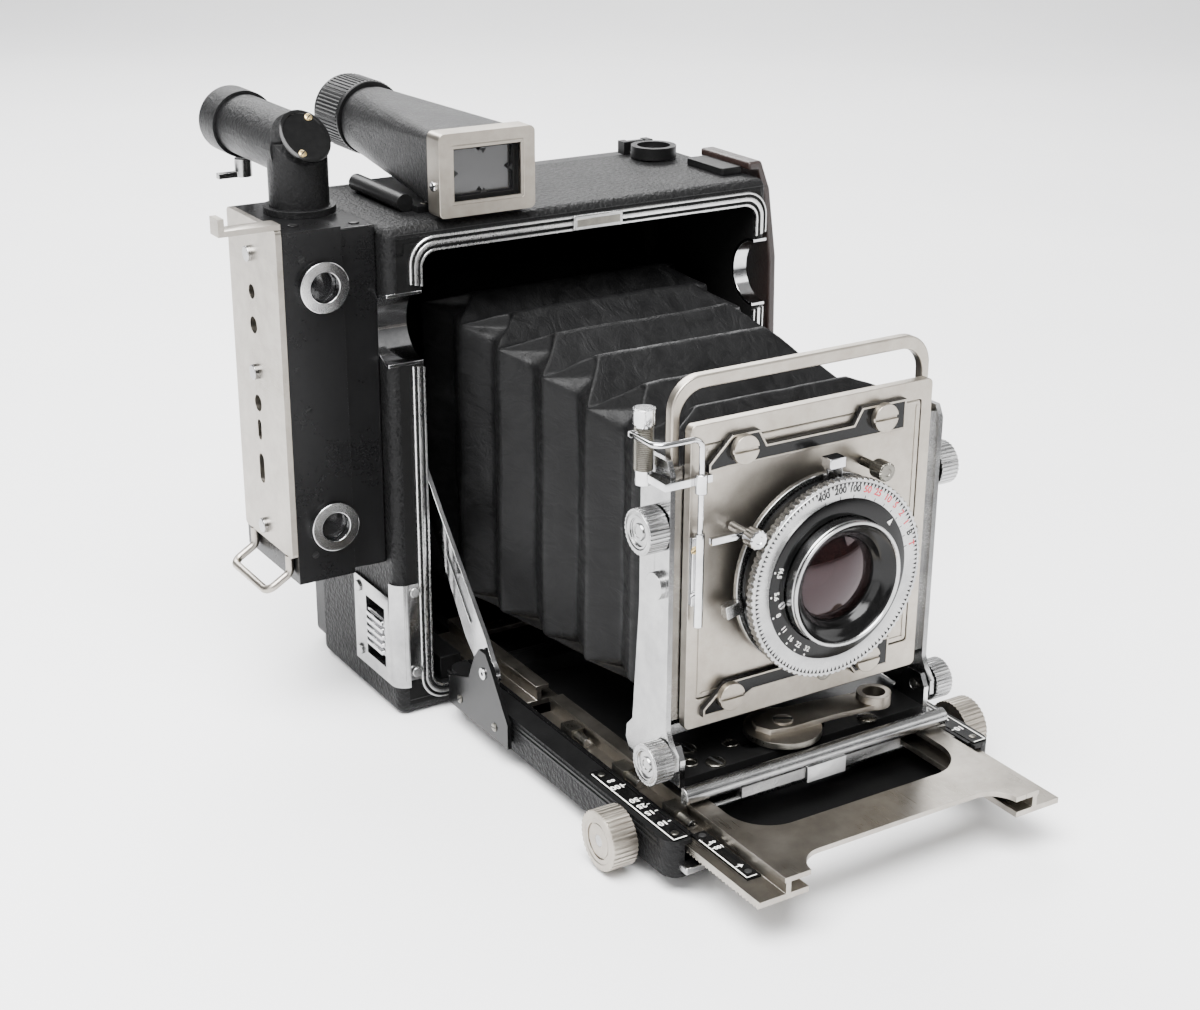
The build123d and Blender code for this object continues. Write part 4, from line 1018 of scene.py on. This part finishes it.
# ---- knob faces
for s, nm in ((-1, "l"), (1, "r")):
    for body, x, y, z, r in (("tilt_knobs", 45.25, -96.0, 22.3, 5.0), ("rise_knobs", 45.45, -91.8, 80.0, 5.3)):
        bm = bmesh.new()
        bm_lathe(bm, [(r * 0.98, s * (x - 0.35)), (r * 0.94, s * x), (r * 0.80, s * (x + 0.12)), (r * 0.70, s * (x - 0.15)), (r * 0.62, s * (x - 0.55)), (r * 0.40, s * (x - 0.62)), (r * 0.36, s * (x - 0.2)), (r * 0.26, s * (x - 0.15)), (r * 0.22, s * (x - 0.9)), (0.001, s * (x - 0.95))], y, z, 48, "x")
        fixn(bm)
        from_bm(bm, body + "_face_" + nm, "satin_chrome", body, 30)
    bm = bmesh.new()
    bm_lathe(bm, [(7.35, s * 57.2), (7.1, s * 57.55), (5.9, s * 57.62), (5.5, s * 57.35), (5.4, s * 57.15), (0.001, s * 57.2)], -95.0, 5.0, 64, "x")
    fixn(bm)
    from_bm(bm, "focus_knob_face_" + nm, "nickel", "focus_shaft", 30)

# ---- carriage: screws and round bosses on the black plate
for x, y in ((-25.7, -97.3), (-28.0, -88.0), (20.0, -98.2), (28.5, -90.0)):
    screw("carriage_screw_%d" % int(100 + x), (x, y, 17.85), (0, 0, 1), 2.5, 0.7, "darksteel", "shift_block", 35 + x)
for x, y in ((-17.0, -91.0), (13.5, -90.0), (-31.0, -94.0)):
    bm = bmesh.new()
    bm_lathe(bm, [(2.1, 17.85), (2.1, 18.15), (1.4, 18.2), (1.35, 17.95), (0.001, 17.95)], x, y, 32, "z")
    fixn(bm)
    from_bm(bm, "carriage_boss_%d" % int(100 + x), "darksteel", "shift_block", 30, 0.1, 1)
screw("lock_pivot", (-3.0, -93.5, 21.4), (0, 0, 1), 2.6, 0.7, "nickel", "lock_lever", 60)

# ---- hand strap stitching
sp = [(58.6, 14.0), (60.4, 24.0), (64.6, 44.0), (65.4, 76.0), (64.6, 108.0), (61.6, 128.0), (58.6, 135.4)]
bm = bmesh.new()
for yy in (8.0, 28.0):
    for i in range(len(sp) - 1):
        a = Vector((sp[i][0], yy, sp[i][1]))
        b_ = Vector((sp[i + 1][0], yy, sp[i + 1][1]))
        L_ = (b_ - a).length
        k = 0.8
        while k + 1.5 < L_:
            p0, p1 = a.lerp(b_, k / L_), a.lerp(b_, (k + 1.5) / L_)
            nx = Vector(((b_ - a).z, 0, -(b_ - a).x)).normalized() * 0.05
            bm_tube(bm, [V(*(p0 + nx)), V(*(p0.lerp(p1, 0.5) + nx * 3)), V(*(p1 + nx))], [0.12, 0.2, 0.12], 6)
            k += 2.3
fixn(bm)
from_bm(bm, "strap_stitches", "thread", "root", 30)
for z, x in ((12.4, 59.0),):
    for yy in (12.0, 24.0):
        screw("strap_screw_%d" % int(yy), (x, yy, z), (1, 0, 0), 1.0, 0.5, "chrome", "root", 30)

# ---- focus light: oval black plate on the mitred end with two brass screws
pc = Vector((-74.0, 24.0 - 5.62, 151.0 + 5.62 - 2.6))
d45 = Vector((0, -1, 1)).normalized()
u45 = Vector((1, 0, 0))
v45 = d45.cross(u45).normalized()
bm = bmesh.new()
rows = []
for k, h in ((1.0, 0.0), (1.0, 0.5), (0.93, 0.75), (0.86, 0.75), (0.84, 0.55), (0.001, 0.55)):
    rows.append([V(*(pc + u45 * (6.4 * k * math.cos(2 * math.pi * i / 64)) + v45 * (7.9 * k * math.sin(2 * math.pi * i / 64)) + d45 * (h - 0.2))) for i in range(64)])
grid_faces(bm, rows, True)
fixn(bm)
from_bm(bm, "focus_light_plate", "enamel", "root", 30)
for k in (-1, 1):
    q = pc + u45 * (k * 2.6) + v45 * (k * 5.2) + d45 * 0.3
    screw("focus_light_screw_%d" % (k + 1), (q.x, q.y, q.z), d45, 1.05, 0.45, "brass", "root", 40)

# ---- finder: eyepiece knurl, front recess, corner stops, shoe screws
bm = bmesh.new()
for i in range(60):
    t = 2 * math.pi * i / 60
    c = Vector((-33.1, 0, 147.0))
    o_ = Vector((math.cos(t), 0, math.sin(t)))
    g = Vector((-math.sin(t), 0, math.cos(t))) * 0.3
    vs = [V(p.x, y, p.z) for y in (67.5, 80.5) for p in (c + o_ * 10.15 - g, c + o_ * 10.45, c + o_ * 10.15 + g)]
    vv = [bm.verts.new(p) for p in vs]
    bm.faces.new((vv[0], vv[1], vv[4], vv[3]))
    bm.faces.new((vv[1], vv[2], vv[5], vv[4]))
    bm.faces.new((vv[0], vv[2], vv[1]))
    bm.faces.new((vv[3], vv[4], vv[5]))
fixn(bm)
from_bm(bm, "eyepiece_ribs", "satin", "eyepiece", 20)
border("finder_inner_lip", rr_pts(-43.7, -22.5, 136.7, 151.9, 0.7, 4), -0.9, 0.45, 0.9, "nickel", "root")
bm = bmesh.new()
for x, z, sx, sz in ((-33.1, 150.0, 1, -1), (-33.1, 138.6, 1, 1)):
    bm.faces.new([bm.verts.new(V(*p)) for p in ((x - 1.0, 0.95, z), (x + 1.0, 0.95, z), (x, 0.95, z + sz * 1.3))])
for x, s in ((-41.6, 1), (-24.6, -1)):
    bm.faces.new([bm.verts.new(V(*p)) for p in ((x, 0.95, 143.3), (x, 0.95, 145.3), (x + s * 1.3, 0.95, 144.3))])
from_bm(bm, "finder_marks", "ink", "root", 0)
screw("finder_side_screw", (-46.9, 1.8, 141.5), (-1, 0, 0), 1.3, 0.7, "chrome", "root", 15)
for x, y in ((-43.0, 14.5), (-24.0, 14.5), (-24.0, 45.0)):
    screw("shoe_screw_%d_%d" % (int(-x), int(y)), (x, y, 134.2), (0, 0, 1), 1.3, 0.4, "darksteel", "root", 20)
# fittings on the rangefinder's top and cover
for x, y in ((-82.0, 10.0), (-66.0, 9.0), (-66.0, 33.0)):
    screw("housing_screw_%d_%d" % (int(-x), int(y)), (x, y, 133.95 if x < -72 else 132.95), (0, 0, 1), 1.4, 0.45, "satin", "root", 25)
for z in (48.0, 88.0, 127.0):
    screw("cover_screw_%d" % int(z), (-86.0 + 3.0, 3.85, z), (0, -1, 0), 0.9, 0.25, "satin", "root", 25)
# cover edge seam
bm = bmesh.new()
bm_box(bm, -72.15, -71.85, 4.4, 37.6, 133.0, 133.4)
from_bm(bm, "cover_seam", "ink", "root", 0)
# leather seams on the body: thin turned edge lines
for z in (0.9, 130.6):
    bm = bmesh.new()
    bm_box(bm, -61.9 + 3.0, 56.0, -0.12, 0.05, z - 0.1, z + 0.1)
    from_bm(bm, "edge_line_%d" % int(z), "ink", "root", 0)

# ================================================================ stage
def stage_mesh(name, verts, faces, mat):
    m = bpy.data.meshes.new(name)
    m.from_pydata(verts, [], faces)
    m.update()
    for p in m.polygons:
        p.use_smooth = True
    m.materials.append(mat)
    o = bpy.data.objects.new(name, m)
    bpy.context.scene.collection.objects.link(o)
    return o


mf, nt, b, tc = new_mat("pale_floor")
v = mapped(nt, tc, (1, 1, 1))
n = noise_tex(nt, v, 5, 3, 0.5)
nt.links.new(mixc(nt, remap(nt, n, 0.3, 0.7, 0, 1), (0.86, 0.86, 0.87), (0.90, 0.90, 0.905)), b.inputs["Base Color"])
b.inputs["Roughness"].default_value = 0.7
b.inputs["Specular IOR Level"].default_value = 0.25
ca, sa = math.cos(math.radians(-31.97)), math.sin(math.radians(-31.97))
prof = [(-2.5, 0.0)] + [(1.1 + 0.9 * math.sin(math.radians(a)), 0.9 - 0.9 * math.cos(math.radians(a))) for a in range(0, 91, 6)] + [(2.0, 3.0)]
vs, fs = [], []
for d, h in prof:
    for s in (-3.5, 3.5):
        vs.append((s * ca - d * sa, s * sa + d * ca, h - 0.0002))
for i in range(len(prof) - 1):
    fs.append((2 * i, 2 * i + 1, 2 * i + 3, 2 * i + 2))
stage_mesh("floor_sweep", vs, fs, mf)


def area(name, loc, target, size, size_y, power, col=(1, 1, 1)):
    li = bpy.data.lights.new(name, "AREA")
    li.shape = "RECTANGLE"
    li.size, li.size_y = size, size_y
    li.energy = power
    li.color = col
    o = bpy.data.objects.new(name, li)
    bpy.context.scene.collection.objects.link(o)
    o.location = loc
    d = Vector(target) - Vector(loc)
    o.rotation_mode = "QUATERNION"
    o.rotation_quaternion = d.to_track_quat("-Z", "Y")
    return o


area("key_top", (-0.35, -0.30, 0.95), (0.0, -0.05, 0.06), 0.9, 0.7, 48.0)
area("fill_left", (-1.15, -0.55, 0.45), (0.0, -0.05, 0.07), 0.8, 0.9, 8.0)
area("fill_right", (1.0, -0.75, 0.55), (0.0, -0.05, 0.07), 0.6, 0.8, 6.0)
area("back_top", (0.25, 0.9, 0.9), (0.0, 0.0, 0.08), 1.2, 0.5, 30.0)

w = bpy.data.worlds.new("soft_room")
bpy.context.scene.world = w
w.use_nodes = True
nt = w.node_tree
nt.nodes.clear()
out = nt.nodes.new("ShaderNodeOutputWorld")
bg = nt.nodes.new("ShaderNodeBackground")
tcw = nt.nodes.new("ShaderNodeTexCoord")
sep = nt.nodes.new("ShaderNodeSeparateXYZ")
nt.links.new(tcw.outputs["Generated"], sep.inputs[0])
rp = nt.nodes.new("ShaderNodeValToRGB")
cr = rp.color_ramp
cr.elements[0].position = 0.35
cr.elements[0].color = (0.22, 0.22, 0.225, 1)
cr.elements[1].position = 0.95
cr.elements[1].color = (0.75, 0.75, 0.75, 1)
e = cr.elements.new(0.52)
e.color = (0.13, 0.13, 0.135, 1)
nt.links.new(remap(nt, sep.outputs["Z"], -1, 1, 0, 1), rp.inputs["Fac"])
nt.links.new(rp.outputs["Color"], bg.inputs["Color"])
bg.inputs["Strength"].default_value = 0.8
nt.links.new(bg.outputs[0], out.inputs[0])

# ---------------------------------------------------------------- camera
cd = bpy.data.cameras.new("main_camera")
cam = bpy.data.objects.new("main_camera", cd)
bpy.context.scene.collection.objects.link(cam)
a, e_, r_ = [math.radians(t) for t in (-31.96989547665778, 21.51969991895924, 0.33687458163156514)]
back = Vector((math.sin(a) * math.cos(e_), -math.cos(a) * math.cos(e_), math.sin(e_)))
right = Vector((math.cos(a), math.sin(a), 0))
up = back.cross(right)
r2 = math.cos(r_) * right + math.sin(r_) * up
u2 = -math.sin(r_) * right + math.cos(r_) * up
cam.matrix_world = Matrix.Translation(V(-274.8803298180605, -443.3492916062783, 252.11517862198173)) @ Matrix((r2, u2, back)).transposed().to_4x4()
cd.sensor_fit = "HORIZONTAL"
cd.sensor_width = 36
cd.lens = 2003.268 / 1200 * 36
cd.clip_start, cd.clip_end = 0.01, 50
bpy.context.scene.camera = cam
